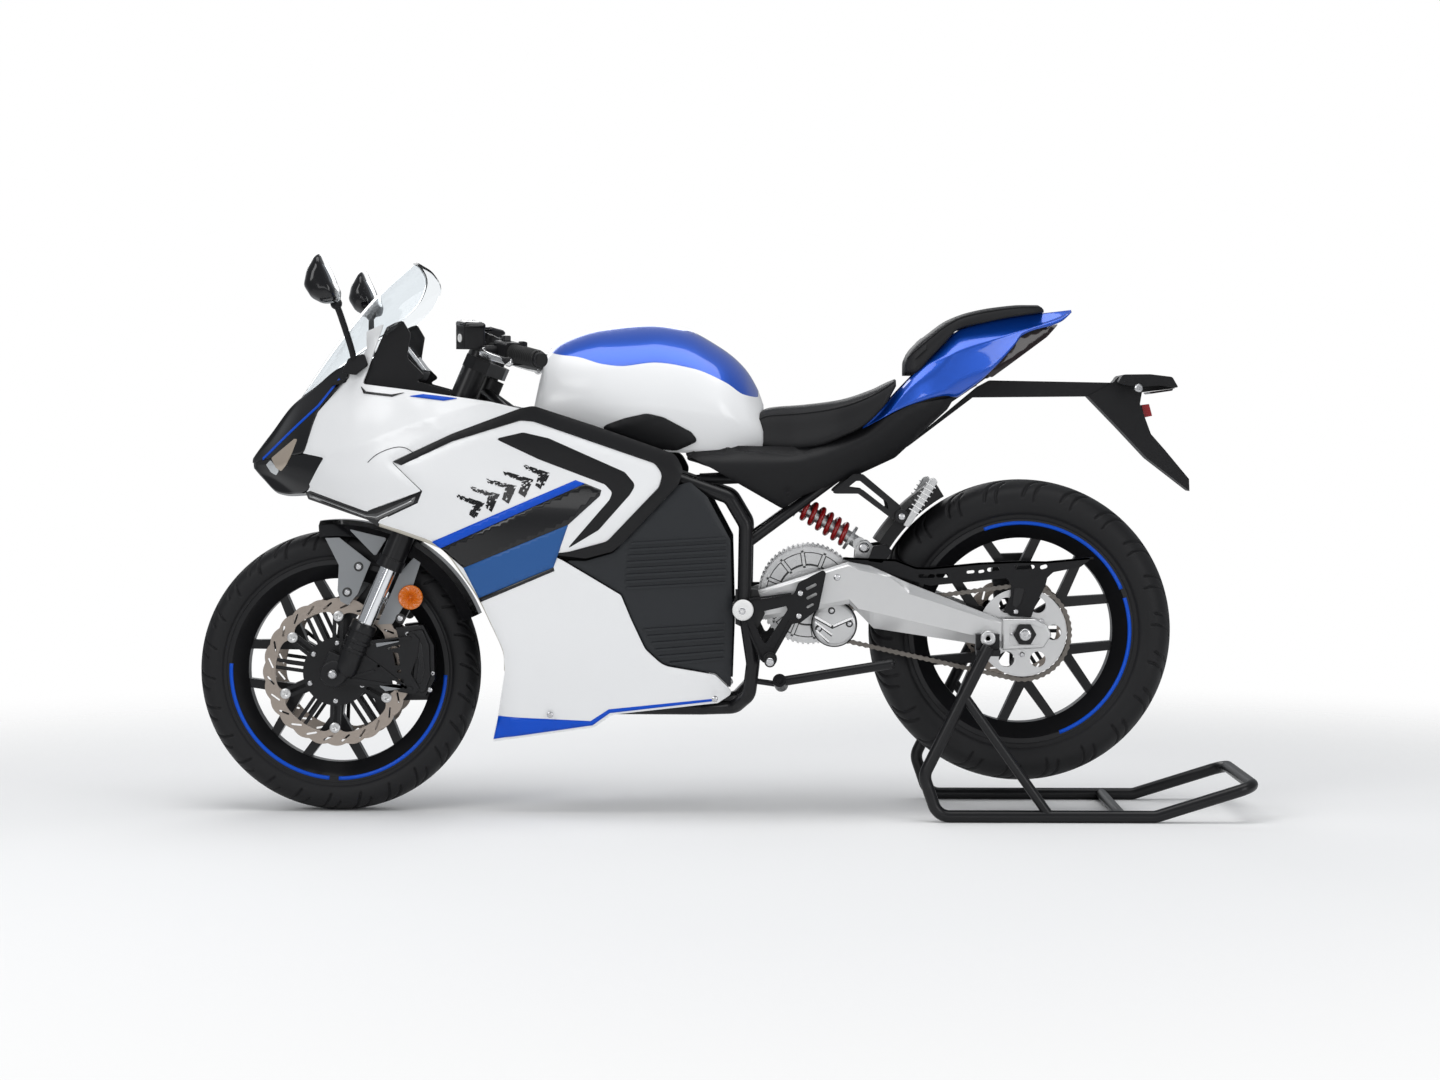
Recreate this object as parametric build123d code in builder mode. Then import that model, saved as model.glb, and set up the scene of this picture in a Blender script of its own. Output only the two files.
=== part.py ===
from build123d import *
import math
import os

# Electric sport bike held upright on a rear paddock stand.
# Millimetres. +Z is up, -X is forward, the rider's left is -Y.
# The origin is on the floor, in the middle of the whole footprint.

# ---------------------------------------------------------------- driving dimensions
WHEELBASE = 1416
FRONT_AXLE = Vector(-798, 0, 293)
REAR_AXLE = Vector(FRONT_AXLE.X + WHEELBASE, 0, 379)  # the paddock stand lifts this wheel
FRONT_TYRE_RADIUS = 293  # 110/70-17
REAR_TYRE_RADIUS = 313  # 140/70-17
RIM_FLANGE_RADIUS = 232
RIM_SEAT_RADIUS = 219
AXLE_RADIUS = 8.5
AXLE_PLAY = 0.05
SPOKE_COUNT = 6

RAKE = 23.5  # degrees from upright
LEG_SPACING = 200
LEG_FOOT = Vector(-779, 0, 292)  # a fork leg's centre line at axle height
LEG_TO_STEM = 30  # the steering axis runs this far behind the legs
STEERING_HALF_RANGE = 25

CHAIN_PLANE = -86  # Y of the chain's middle
CHAIN_ROLLER_CIRCLE = 97
MOTOR_SPROCKET = Vector(232, 0, 396)
MOTOR_CIRCLE = 29
MOTOR_CENTRE = Vector(179, 0, 455)
PIVOT = Vector(46, 0, 430)  # swingarm pivot

STAND_PIVOT = Vector(121, -169, 283)  # side stand, folded back
STAND_FOOT = Vector(344, -180, 320)
STAND_AXIS = Vector(0.10, 0.94, -0.33).normalized()
STAND_BOSS = 22
STAND_PIN = 6

PANEL = 3  # thickness of a moulded body panel
STAND_TUBE = 25
STAND_END_X = 1091
STAND_TRACK = 190

SINE = math.sin(math.radians(RAKE))
COSINE = math.cos(math.radians(RAKE))
STEER_UP = Vector(SINE, 0, COSINE)
STEER_BACK = Vector(COSINE, 0, -SINE)
STEER_BASE = LEG_FOOT + STEER_BACK * LEG_TO_STEM

os.makedirs("parts", exist_ok=True)


# ---------------------------------------------------------------- shared forms
def leg_point(height, y=0.0):
    """A point on a fork leg's centre line, at a height above the floor."""
    along = (height - LEG_FOOT.Z) / COSINE
    return LEG_FOOT + STEER_UP * along + Vector(0, y, 0)


def stem_point(height):
    """A point on the steering axis, at a height above the floor."""
    return STEER_BASE + STEER_UP * ((height - STEER_BASE.Z) / COSINE)


def side_plane(y, centre=Vector(0, 0, 0)):
    """A plane seen from the left: local x is +X, local y is +Z, the normal points to -Y."""
    return Plane(origin=(centre.X, y, centre.Z), x_dir=(1, 0, 0), z_dir=(0, -1, 0))


def add_tube(points, bend, diameter):
    """A round tube along straight runs joined by arcs of one bend radius."""
    with BuildLine() as path:
        if len(points) == 2:
            Line(*points)
        else:
            FilletPolyline(*points, radius=bend)
    with BuildSketch(Plane(origin=path.line @ 0, z_dir=path.line % 0)) as section:
        Circle(diameter / 2)
    sweep(section.sketch, path=path.line)


def add_side_plate(outline, y_inner, y_outer, holes=()):
    """A flat plate cut to a side outline of (x, z) points, holes as (x, z, radius)."""
    with BuildSketch(side_plane(y_inner)) as plate:
        Polygon(*outline, align=None)
        for x, z, radius in holes:
            with Locations((x, z)):
                Circle(radius, mode=Mode.SUBTRACT)
    extrude(plate.sketch, amount=y_inner - y_outer)


def add_cross_cylinder(centre, radius, y_start, y_end, mode=Mode.ADD):
    """A cylinder whose axis runs across the bike."""
    with BuildSketch(side_plane(y_start, centre)) as disc:
        Circle(radius)
    extrude(disc.sketch, amount=y_start - y_end, mode=mode)


def wheel_plane(axle):
    """A half plane through an axle: local x runs across, local y is the radius."""
    return Plane(origin=axle, x_dir=(0, 1, 0), z_dir=(1, 0, 0))


def add_ring(axle, profile):
    """A ring turned about an axle from (across, radius) points."""
    with BuildSketch(wheel_plane(axle)) as section:
        Polygon(*profile, align=None)
    revolve(section.sketch, axis=Axis(axle, (0, 1, 0)))


def half_section(x, half, inset):
    """A closed cross section, symmetric about the middle: flat floor and top, arched sides."""
    (w0, z0), (w1, z1), (w2, z2), (w3, z3), (w4, z4) = [(max(w - inset, 1), z) for w, z in half]
    z0 = z0 + inset
    z4 = z4 - inset
    with BuildSketch(Plane.YZ.offset(x)) as face:
        with BuildLine():
            Line((-w0, z0), (w0, z0))
            ThreePointArc((w0, z0), (w1, z1), (w2, z2))
            ThreePointArc((w2, z2), (w3, z3), (w4, z4))
            Line((w4, z4), (-w4, z4))
            ThreePointArc((-w4, z4), (-w3, z3), (-w2, z2))
            ThreePointArc((-w2, z2), (-w1, z1), (-w0, z0))
        make_face()
    return face.sketch


def make_hull(stations, inset):
    """The solid inside a set of body stations, shrunk by an inset."""
    with BuildPart() as hull:
        loft([half_section(x, half, inset) for x, half in stations], ruled=True)
    return hull.part


def add_panel(hulls, outline, side):
    """A moulded panel: the skin between two hulls, cut to a side outline.
    side is -1 for the left panel, +1 for the right one and 0 for both."""
    outer, inner = hulls
    reach = 400
    y_start = {-1: 0, 0: reach, 1: reach}[side]
    y_end = {-1: -reach, 0: -reach, 1: 0}[side]
    with BuildSketch(side_plane(y_start)) as cut:
        Polygon(*outline, align=None)
    add(outer)
    extrude(cut.sketch, amount=y_start - y_end, mode=Mode.INTERSECT)
    if inner is not None:
        add(inner, mode=Mode.SUBTRACT)


# ---------------------------------------------------------------- wheels
# Half widths and radii of the tyre sections, from the bead out to the crown.
# columns: share of the half width, height above the rim flange as a share of the tyre's
TYRE_SHAPE = (
    (0.90, 0.12),
    (1.00, 0.42),
    (0.95, 0.62),
    (0.76, 0.81),
    (0.42, 0.95),
    (0.00, 1.00),
)
# half of the rim well, from the flange to the middle, as (across, radius)
RIM_EDGE = 6  # flange thickness


def rim_well(half_width):
    return (
        (half_width - RIM_EDGE + 2, RIM_FLANGE_RADIUS),
        (half_width - RIM_EDGE, RIM_SEAT_RADIUS),
        (half_width * 0.5, RIM_SEAT_RADIUS - 5),
        (half_width * 0.3, RIM_SEAT_RADIUS - 19),
    )


def mirrored(points):
    """A half profile, then its mirror image in reverse order."""
    return tuple(points) + tuple((-a, r) for a, r in reversed(points) if a != 0)


def tyre_profile(half_width, radius, rim_half_width):
    height = radius - RIM_FLANGE_RADIUS
    outer = [(w * half_width, RIM_FLANGE_RADIUS + h * height) for w, h in TYRE_SHAPE]
    well = rim_well(rim_half_width)
    half = tuple(reversed(outer)) + well
    return half + tuple((-a, r) for a, r in reversed(half) if a != 0)


def rim_profile(half_width):
    well = rim_well(half_width)
    half = (
        tuple(reversed(well))
        + (
            (half_width, RIM_FLANGE_RADIUS),
            (half_width, RIM_FLANGE_RADIUS - 10),
            (half_width * 0.66, RIM_SEAT_RADIUS - 13),
            (half_width * 0.36, RIM_SEAT_RADIUS - 27),
        )
    )
    return half + tuple((-a, r) for a, r in reversed(half))


def add_spokes(axle, hub_radius, fork_radius, spread, phase, thickness):
    """Y-shaped cast spokes: one arm from the hub that forks towards the rim."""
    rim_radius = RIM_SEAT_RADIUS - 23
    left = math.radians(90 + spread)
    tip = (rim_radius * math.cos(left), rim_radius * math.sin(left))
    outline = (
        (-15, hub_radius - 6),
        (-11, fork_radius),
        (tip[0] - 7, tip[1] - 4),
        (tip[0] + 9, tip[1] + 5),
        (0, fork_radius + 22),
        (-tip[0] - 9, tip[1] + 5),
        (-tip[0] + 7, tip[1] - 4),
        (11, fork_radius),
        (15, hub_radius - 6),
    )
    with BuildSketch(side_plane(thickness / 2, axle)) as spokes:
        for number in range(SPOKE_COUNT):
            Polygon(*outline, align=None, rotation=phase + number * 360 / SPOKE_COUNT)
    extrude(spokes.sketch, amount=thickness)


FRONT_TYRE_HALF = 55
REAR_TYRE_HALF = 70
FRONT_RIM_HALF = 44
REAR_RIM_HALF = 56

with BuildPart() as front_tyre:
    add_ring(FRONT_AXLE, tyre_profile(FRONT_TYRE_HALF, FRONT_TYRE_RADIUS, FRONT_RIM_HALF))
front_tyre.part.label = "front_tyre"
export_step(front_tyre.part, "parts/front_tyre.step")

with BuildPart() as rear_tyre:
    add_ring(REAR_AXLE, tyre_profile(REAR_TYRE_HALF, REAR_TYRE_RADIUS, REAR_RIM_HALF))
rear_tyre.part.label = "rear_tyre"
export_step(rear_tyre.part, "parts/rear_tyre.step")

FRONT_HUB_HALF = 67
with BuildPart() as front_rim:
    add_ring(FRONT_AXLE, rim_profile(FRONT_RIM_HALF))
    add_ring(
        FRONT_AXLE,
        mirrored(((FRONT_HUB_HALF, 0), (FRONT_HUB_HALF, 34), (26, 34), (20, 44))),
    )
    add_spokes(FRONT_AXLE, 44, 92, 18.5, -4, 26)
    add_cross_cylinder(FRONT_AXLE, AXLE_RADIUS + AXLE_PLAY, 80, -80, Mode.SUBTRACT)
front_rim.part.label = "front_rim"
export_step(front_rim.part, "parts/front_rim.step")

REAR_HUB_HALF = 76
with BuildPart() as rear_rim:
    add_ring(REAR_AXLE, rim_profile(REAR_RIM_HALF))
    add_ring(
        REAR_AXLE,
        mirrored(((REAR_HUB_HALF, 0), (REAR_HUB_HALF, 38), (30, 38), (24, 52))),
    )
    add_spokes(REAR_AXLE, 50, 98, 16, 5, 30)
    add_cross_cylinder(REAR_AXLE, AXLE_RADIUS + AXLE_PLAY, 100, -100, Mode.SUBTRACT)
rear_rim.part.label = "rear_rim"
export_step(rear_rim.part, "parts/rear_rim.step")

DISC_RADIUS = 154
DISC_PLANE = 64.5
DISC_THICKNESS = 4.5
DISC_WAVES = 12


def add_brake_disc(axle, y_middle, radius, band, arms, hub_hole):
    """A wavy brake disc: outer band, spider arms and a ring round the hub."""
    with BuildSketch(side_plane(y_middle + DISC_THICKNESS / 2, axle)) as disc:
        Circle(radius)
        with PolarLocations(radius + 16, DISC_WAVES):
            Circle(20, mode=Mode.SUBTRACT)
        Circle(radius - band, mode=Mode.SUBTRACT)
        for number in range(arms):
            with PolarLocations((radius - band + hub_hole + 20) / 2, 1, start_angle=28 + number * 360 / arms):
                Rectangle(radius - band - hub_hole - 12, 15)
        Circle(hub_hole + 18)
        Circle(hub_hole, mode=Mode.SUBTRACT)
        with PolarLocations(radius - band / 2, 24):
            Circle(4, mode=Mode.SUBTRACT)
    extrude(disc.sketch, amount=DISC_THICKNESS)


with BuildPart() as front_discs:
    for side in (-1, 1):
        add_brake_disc(FRONT_AXLE, side * DISC_PLANE, DISC_RADIUS, 30, 6, 34)
front_discs.part.label = "front_discs"
export_step(front_discs.part, "parts/front_discs.step")

REAR_DISC_RADIUS = 110
REAR_DISC_PLANE = 73.5
with BuildPart() as rear_disc:
    add_brake_disc(REAR_AXLE, REAR_DISC_PLANE, REAR_DISC_RADIUS, 28, 5, 38)
rear_disc.part.label = "rear_disc"
export_step(rear_disc.part, "parts/rear_disc.step")

SPROCKET_THICKNESS = 6
SPROCKET_TEETH = 48
with BuildPart() as sprocket:
    with BuildSketch(side_plane(CHAIN_PLANE + SPROCKET_THICKNESS / 2, REAR_AXLE)) as plate:
        Circle(CHAIN_ROLLER_CIRCLE - 6)
        with PolarLocations(64, 6):
            Circle(16, mode=Mode.SUBTRACT)
        Circle(22, mode=Mode.SUBTRACT)
    extrude(plate.sketch, amount=SPROCKET_THICKNESS)
    with BuildSketch(side_plane(CHAIN_PLANE + SPROCKET_THICKNESS / 2, REAR_AXLE)) as boss:
        Circle(36)
        Circle(22, mode=Mode.SUBTRACT)
    extrude(boss.sketch, amount=-(abs(CHAIN_PLANE) - SPROCKET_THICKNESS / 2 - REAR_HUB_HALF))
sprocket.part.label = "sprocket"
export_step(sprocket.part, "parts/sprocket.step")

# ---------------------------------------------------------------- fork and steering
LEG_Y = LEG_SPACING / 2
STANCHION_RADIUS = 17.5
OUTER_TUBE_RADIUS = 25
OUTER_TUBE_FOOT = 510  # height where the outer tube ends
STANCHION_FOOT = 345
LEG_TOP = 985
TOP_YOKE_HEIGHT = 906
LOWER_YOKE_HEIGHT = 790
YOKE_THICKNESS = 26
STEM_RADIUS = 14
STEM_SOCKET_RADIUS = 7.5  # takes the pin of a front stand
STEM_SOCKET_DEPTH = 40


def leg_plane(height, y):
    return Plane(origin=leg_point(height, y), x_dir=(0, 1, 0), z_dir=STEER_UP)


with BuildPart() as fork_tubes:
    for side in (-1, 1):
        tube_length = (LEG_TOP - OUTER_TUBE_FOOT) / COSINE
        with BuildSketch(leg_plane(OUTER_TUBE_FOOT, side * LEG_Y)) as tube:
            Circle(OUTER_TUBE_RADIUS)
            Circle(STANCHION_RADIUS, mode=Mode.SUBTRACT)
        extrude(tube.sketch, amount=tube_length)
        with BuildSketch(leg_plane(OUTER_TUBE_FOOT, side * LEG_Y)) as collar:
            Circle(OUTER_TUBE_RADIUS + 3)
            Circle(STANCHION_RADIUS, mode=Mode.SUBTRACT)
        extrude(collar.sketch, amount=22)
        with BuildSketch(leg_plane(LEG_TOP, side * LEG_Y)) as cap:
            Circle(OUTER_TUBE_RADIUS)
        extrude(cap.sketch, amount=6)
fork_tubes.part.label = "fork_tubes"
export_step(fork_tubes.part, "parts/fork_tubes.step")

with BuildPart() as fork_stanchions:
    for side in (-1, 1):
        with BuildSketch(leg_plane(STANCHION_FOOT, side * LEG_Y)) as tube:
            Circle(STANCHION_RADIUS)
        extrude(tube.sketch, amount=(LEG_TOP - STANCHION_FOOT) / COSINE)
fork_stanchions.part.label = "fork_stanchions"
export_step(fork_stanchions.part, "parts/fork_stanchions.step")

CLAMP_INNER = 80
CLAMP_OUTER = 120
CALIPER_LUG = (-630, 374)
CALIPER_LUG_LOW = (-626, 262)
with BuildPart() as axle_clamps:
    for side in (-1, 1):
        y_in = side * CLAMP_INNER
        y_out = side * CLAMP_OUTER
        top = leg_point(398)
        with BuildSketch(side_plane(y_in)) as shape:
            with BuildLine():
                Polyline(
                    (FRONT_AXLE.X - 25, FRONT_AXLE.Z - 8),
                    (top.X - 24, top.Z + 6),
                    (top.X + 22, top.Z - 6),
                    (FRONT_AXLE.X + 30, FRONT_AXLE.Z - 14),
                    (FRONT_AXLE.X - 25, FRONT_AXLE.Z - 8),
                )
            make_face()
            with Locations((FRONT_AXLE.X, FRONT_AXLE.Z)):
                Circle(27)
        extrude(shape.sketch, amount=y_in - y_out)
        lug = (
            (FRONT_AXLE.X + 10, FRONT_AXLE.Z + 66),
            CALIPER_LUG,
            (CALIPER_LUG[0] + 2, CALIPER_LUG[1] - 24),
            (-690, 326),
            (CALIPER_LUG_LOW[0] + 2, CALIPER_LUG_LOW[1] + 22),
            CALIPER_LUG_LOW,
            (FRONT_AXLE.X + 10, FRONT_AXLE.Z - 20),
        )
        add_side_plate(lug, side * 86, side * 98)
        with BuildSketch(leg_plane(STANCHION_FOOT, side * LEG_Y)) as socket:
            Circle(STANCHION_RADIUS)
        extrude(socket.sketch, amount=200, mode=Mode.SUBTRACT)
    add_cross_cylinder(FRONT_AXLE, AXLE_RADIUS, 126, -126)
    for side in (-1, 1):
        add_cross_cylinder(FRONT_AXLE, 15, side * (FRONT_HUB_HALF + 1), side * CLAMP_INNER)
axle_clamps.part.label = "axle_clamps"
export_step(axle_clamps.part, "parts/axle_clamps.step")

CALIPER_OUTLINE = (
    (-672, 385),
    (-616, 392),
    (-594, 350),
    (-592, 280),
    (-612, 244),
    (-668, 254),
    (-655, 320),
)
DISC_SLOT = DISC_THICKNESS / 2 + 5
with BuildPart() as front_calipers:
    for side in (-1, 1):
        add_side_plate(CALIPER_OUTLINE, side * 50, side * 86)
        with BuildSketch(side_plane(side * (DISC_PLANE - DISC_SLOT), FRONT_AXLE)) as slot:
            Circle(DISC_RADIUS + 6)
        extrude(slot.sketch, amount=-side * 2 * DISC_SLOT, mode=Mode.SUBTRACT)
front_calipers.part.label = "front_calipers"
export_step(front_calipers.part, "parts/front_calipers.step")


def add_yoke(height):
    """A fork yoke: a bar between the legs that reaches back to the stem."""
    plane = Plane(origin=stem_point(height), x_dir=(0, 1, 0), z_dir=STEER_UP)
    with BuildSketch(plane) as plate:
        with BuildLine():
            Polyline(
                (-LEG_Y - 20, LEG_TO_STEM + 24),
                (LEG_Y + 20, LEG_TO_STEM + 24),
                (LEG_Y + 36, LEG_TO_STEM),
                (LEG_Y + 20, LEG_TO_STEM - 28),
                (34, -24),
                (-34, -24),
                (-LEG_Y - 20, LEG_TO_STEM - 28),
                (-LEG_Y - 36, LEG_TO_STEM),
                (-LEG_Y - 20, LEG_TO_STEM + 24),
            )
        make_face()
        with Locations((-LEG_Y, LEG_TO_STEM), (LEG_Y, LEG_TO_STEM)):
            Circle(OUTER_TUBE_RADIUS, mode=Mode.SUBTRACT)
    extrude(plate.sketch, amount=YOKE_THICKNESS)


with BuildPart() as yokes:
    add_yoke(TOP_YOKE_HEIGHT)
    add_yoke(LOWER_YOKE_HEIGHT)
    stem_length = (TOP_YOKE_HEIGHT - LOWER_YOKE_HEIGHT) / COSINE + YOKE_THICKNESS + 12
    stem_plane = Plane(origin=stem_point(LOWER_YOKE_HEIGHT), x_dir=(0, 1, 0), z_dir=STEER_UP)
    with BuildSketch(stem_plane) as stem:
        Circle(STEM_RADIUS)
    extrude(stem.sketch, amount=stem_length)
    with BuildSketch(stem_plane) as stem_socket:
        Circle(STEM_SOCKET_RADIUS)
    extrude(stem_socket.sketch, amount=STEM_SOCKET_DEPTH, mode=Mode.SUBTRACT)
yokes.part.label = "yokes"
export_step(yokes.part, "parts/yokes.step")

# Each bar starts at its fork leg and runs out, back and slightly down.
BAR_HEIGHT = 966
BAR_START = leg_point(BAR_HEIGHT)
BAR_END = Vector(-348, 335, 931)
BAR_RADIUS = 11
GRIP_RADIUS = 16.5
BAR_VECTOR = BAR_END - Vector(BAR_START.X, LEG_Y, BAR_START.Z)
BAR_LENGTH = BAR_VECTOR.length
BAR_ALONG = BAR_VECTOR.normalized()
BAR_FRONT = Vector(-BAR_ALONG.Y, BAR_ALONG.X, 0).normalized()
GRIP_START = 150


def bar_point(along, forward=0.0, up=0.0):
    """A point beside the right handlebar; the left one is its mirror image."""
    start = Vector(BAR_START.X, LEG_Y, BAR_START.Z)
    return start + BAR_ALONG * along + BAR_FRONT * forward + Vector(0, 0, up)


def bar_plane(along):
    return Plane(origin=bar_point(along), x_dir=BAR_FRONT, z_dir=BAR_ALONG)


with BuildPart() as clip_ons:
    with BuildSketch(leg_plane(BAR_HEIGHT - 14, LEG_Y)) as ring:
        Circle(OUTER_TUBE_RADIUS + 9)
        Circle(OUTER_TUBE_RADIUS, mode=Mode.SUBTRACT)
    extrude(ring.sketch, amount=30)
    with BuildSketch(bar_plane(OUTER_TUBE_RADIUS + 3)) as bar:
        Circle(BAR_RADIUS)
    extrude(bar.sketch, amount=BAR_LENGTH - OUTER_TUBE_RADIUS - 3)
    with BuildSketch(bar_plane(GRIP_START)) as grip:
        Circle(GRIP_RADIUS)
    extrude(grip.sketch, amount=BAR_LENGTH - GRIP_START - 14)
    mirror(about=Plane.XZ)
clip_ons.part.label = "clip_ons"
export_step(clip_ons.part, "parts/clip_ons.step")

with BuildPart() as controls:
    with BuildSketch(bar_plane(GRIP_START - 62)) as housing:
        RectangleRounded(40, 42, 8)
        Circle(BAR_RADIUS, mode=Mode.SUBTRACT)
    extrude(housing.sketch, amount=60)
    add_tube((bar_point(100, 16), bar_point(104, 52)), 0, 22)
    with BuildSketch(Plane(origin=bar_point(70, 62, 0), x_dir=BAR_FRONT, z_dir=(0, 0, 1))) as tank:
        RectangleRounded(46, 50, 7)
    extrude(tank.sketch, amount=50)
    lever_path = (bar_point(104, 46), bar_point(140, 66), bar_point(BAR_LENGTH - 26, 62, -6))
    add_tube(lever_path, 18, 11)
    with Locations(lever_path[-1]):
        Sphere(8.5)
    mirror(about=Plane.XZ)
controls.part.label = "controls"
export_step(controls.part, "parts/controls.step")

FENDER_RADIUS = 312
FENDER_HALF = 66
FENDER_START = 97  # degrees from +X, at the fender's front tip
FENDER_SWEEP = 75
FENDER_PLATE = (
    (-819, 571),
    (-790, 572),
    (-725, 521),
    (-752, 456),
    (-772, 432),
    (-788, 440),
    (-794, 463),
    (-791, 515),
)
FENDER_REAR_PLATE = ((-712, 392), (-664, 500), (-636, 530), (-622, 520), (-645, 450), (-680, 394))
with BuildPart() as front_fender:
    start = math.radians(FENDER_START)
    tip_plane = Plane(
        origin=FRONT_AXLE,
        x_dir=(0, 1, 0),
        z_dir=(math.sin(start), 0, -math.cos(start)),
    )
    with BuildSketch(tip_plane) as crown:
        Polygon(
            (-FENDER_HALF - 3, 282),
            (-FENDER_HALF + 8, FENDER_RADIUS - 6),
            (-30, FENDER_RADIUS + 3),
            (30, FENDER_RADIUS + 3),
            (FENDER_HALF - 8, FENDER_RADIUS - 6),
            (FENDER_HALF + 3, 282),
            (FENDER_HALF, 282),
            (FENDER_HALF - 11, FENDER_RADIUS - 9),
            (29, FENDER_RADIUS),
            (-29, FENDER_RADIUS),
            (-FENDER_HALF + 11, FENDER_RADIUS - 9),
            (-FENDER_HALF, 282),
            align=None,
        )
    revolve(crown.sketch, axis=Axis(FRONT_AXLE, (0, 1, 0)), revolution_arc=FENDER_SWEEP)
front_fender.part.label = "front_fender"
export_step(front_fender.part, "parts/front_fender.step")

with BuildPart() as fender_brackets:
    for side in (-1, 1):
        add_side_plate(FENDER_PLATE, side * 72, side * 75)
        add_side_plate(FENDER_REAR_PLATE, side * 72, side * 75)
fender_brackets.part.label = "fender_brackets"
export_step(fender_brackets.part, "parts/fender_brackets.step")

# ---------------------------------------------------------------- frame
TUBE = 28
FRAME_Y = 165
HEAD_RADIUS = 28
HEAD_BORE = 20
# columns: x, y, z of the right main tube, from the steering head to the lower cross tube
MAIN_TUBE = (
    (-492, 20, 868),
    (-400, 138, 795),
    (-75, 158, 690),
    (18, 163, 657),
    (51, FRAME_Y, 601),
    (48, FRAME_Y, 440),
    (66, FRAME_Y, 320),
    (58, 150, 255),
    (28, 108, 226),
    (-40, 88, 222),
)
# the lower cradle, from there forward and up to the steering head
LOWER_TUBE = (
    (-40, 88, 222),
    (-350, 80, 222),
    (-406, 72, 300),
    (-415, 60, 600),
    (-448, 44, 770),
    (-497, 16, 856),
)
with BuildPart() as main_frame:
    head_start = LOWER_YOKE_HEIGHT + (YOKE_THICKNESS + 5) * COSINE
    head_plane = Plane(origin=stem_point(head_start), x_dir=(0, 1, 0), z_dir=STEER_UP)
    with BuildSketch(head_plane) as head:
        Circle(HEAD_RADIUS)
    extrude(head.sketch, amount=(TOP_YOKE_HEIGHT - head_start) / COSINE - 5)
    add_tube(MAIN_TUBE, 28, TUBE)
    add_tube(LOWER_TUBE, 26, TUBE)
    with Locations(Vector(*MAIN_TUBE[-1])):
        Sphere(TUBE / 2)
    add_side_plate(((30, 470), (30, 400), (70, 380), (90, 420), (76, 470)), 140, 160)
    mirror(about=Plane.XZ)
    add_tube(((-40, 88, 222), (-40, -88, 222)), 0, TUBE)
    with BuildSketch(head_plane) as bore:
        Circle(HEAD_BORE)
    extrude(bore.sketch, amount=200, both=True, mode=Mode.SUBTRACT)
    stub_plane = Plane(origin=STAND_PIVOT - STAND_AXIS * 16, z_dir=STAND_AXIS)
    with BuildSketch(stub_plane) as pin:
        Circle(STAND_PIN)
    extrude(pin.sketch, amount=40)
    with BuildSketch(stub_plane.offset(16 + STAND_BOSS / 2 + 0.5)) as stub:
        Circle(14)
    extrude(stub.sketch, amount=16)
    add_tube((STAND_PIVOT + STAND_AXIS * 24, Vector(60, -156, 285)), 0, 12)
main_frame.part.label = "main_frame"
export_step(main_frame.part, "parts/main_frame.step")

with BuildPart() as subframe:
    add_tube(((-50, 128, 692), (250, 96, 704), (440, 66, 850), (520, 50, 895)), 60, 22)
    add_tube(((49, 140, 560), (240, 80, 700)), 0, 22)
    mirror(about=Plane.XZ)
    add_tube(((250, 96, 704), (250, -96, 704)), 0, 22)
    add_tube(((440, 66, 850), (440, -66, 850)), 0, 20)
subframe.part.label = "subframe"
export_step(subframe.part, "parts/subframe.step")

with BuildPart() as battery_case:
    with BuildSketch(side_plane(100)) as case:
        Polygon((-362, 300), (-330, 262), (-30, 262), (-30, 560), (-110, 650), (-365, 680), align=None)
    extrude(case.sketch, amount=200)
battery_case.part.label = "battery_case"
export_step(battery_case.part, "parts/battery_case.step")

with BuildPart() as motor:
    add_cross_cylinder(MOTOR_CENTRE, 100, 78, -70)
    add_cross_cylinder(MOTOR_CENTRE, 84, 92, -74)
    add_cross_cylinder(MOTOR_SPROCKET, 45, -99, -103)
    add_cross_cylinder(MOTOR_SPROCKET, 12, -70, -99)
motor.part.label = "motor"
export_step(motor.part, "parts/motor.step")

SWINGARM_OUTLINE = (
    (24, 442),
    (50, 458),
    (259, 525),
    (305, 517),
    (380, 483),
    (576, 406),
    (590, 378),
    (584, 351),
    (516, 358),
    (312, 389),
    (262, 440),
    (60, 402),
    (30, 410),
)
ARM_INNER = 105
SPOOL = Vector(542, 0, 372)  # bobbins that a paddock stand lifts by
SPOOL_GROOVE = 11
ARM_OUTER = 136
with BuildPart() as swingarm:
    for side in (-1, 1):
        add_side_plate(SWINGARM_OUTLINE, side * ARM_INNER, side * ARM_OUTER)
        cap = ((572, 408), (650, 400), (672, 376), (640, 346), (572, 350))
        add_side_plate(cap, side * (ARM_INNER + 2), side * (ARM_OUTER + 6))
        add_cross_cylinder(REAR_AXLE, 16, side * (REAR_HUB_HALF + 14), side * ARM_INNER)
        add_cross_cylinder(REAR_AXLE, 22, side * (ARM_OUTER + 6), side * 156)
        add_cross_cylinder(SPOOL, SPOOL_GROOVE, side * ARM_OUTER, side * 176)
        for y in (ARM_OUTER, 170):
            add_cross_cylinder(SPOOL, SPOOL_GROOVE + 4, side * y, side * (y + 6))
    add_cross_cylinder(PIVOT, 24, ARM_INNER, -ARM_INNER)
    add_cross_cylinder(REAR_AXLE, AXLE_RADIUS, 165, -165)
    add_tube(((298, 108, 490), (298, -108, 490)), 0, 34)
swingarm.part.label = "swingarm"
export_step(swingarm.part, "parts/swingarm.step")


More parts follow.
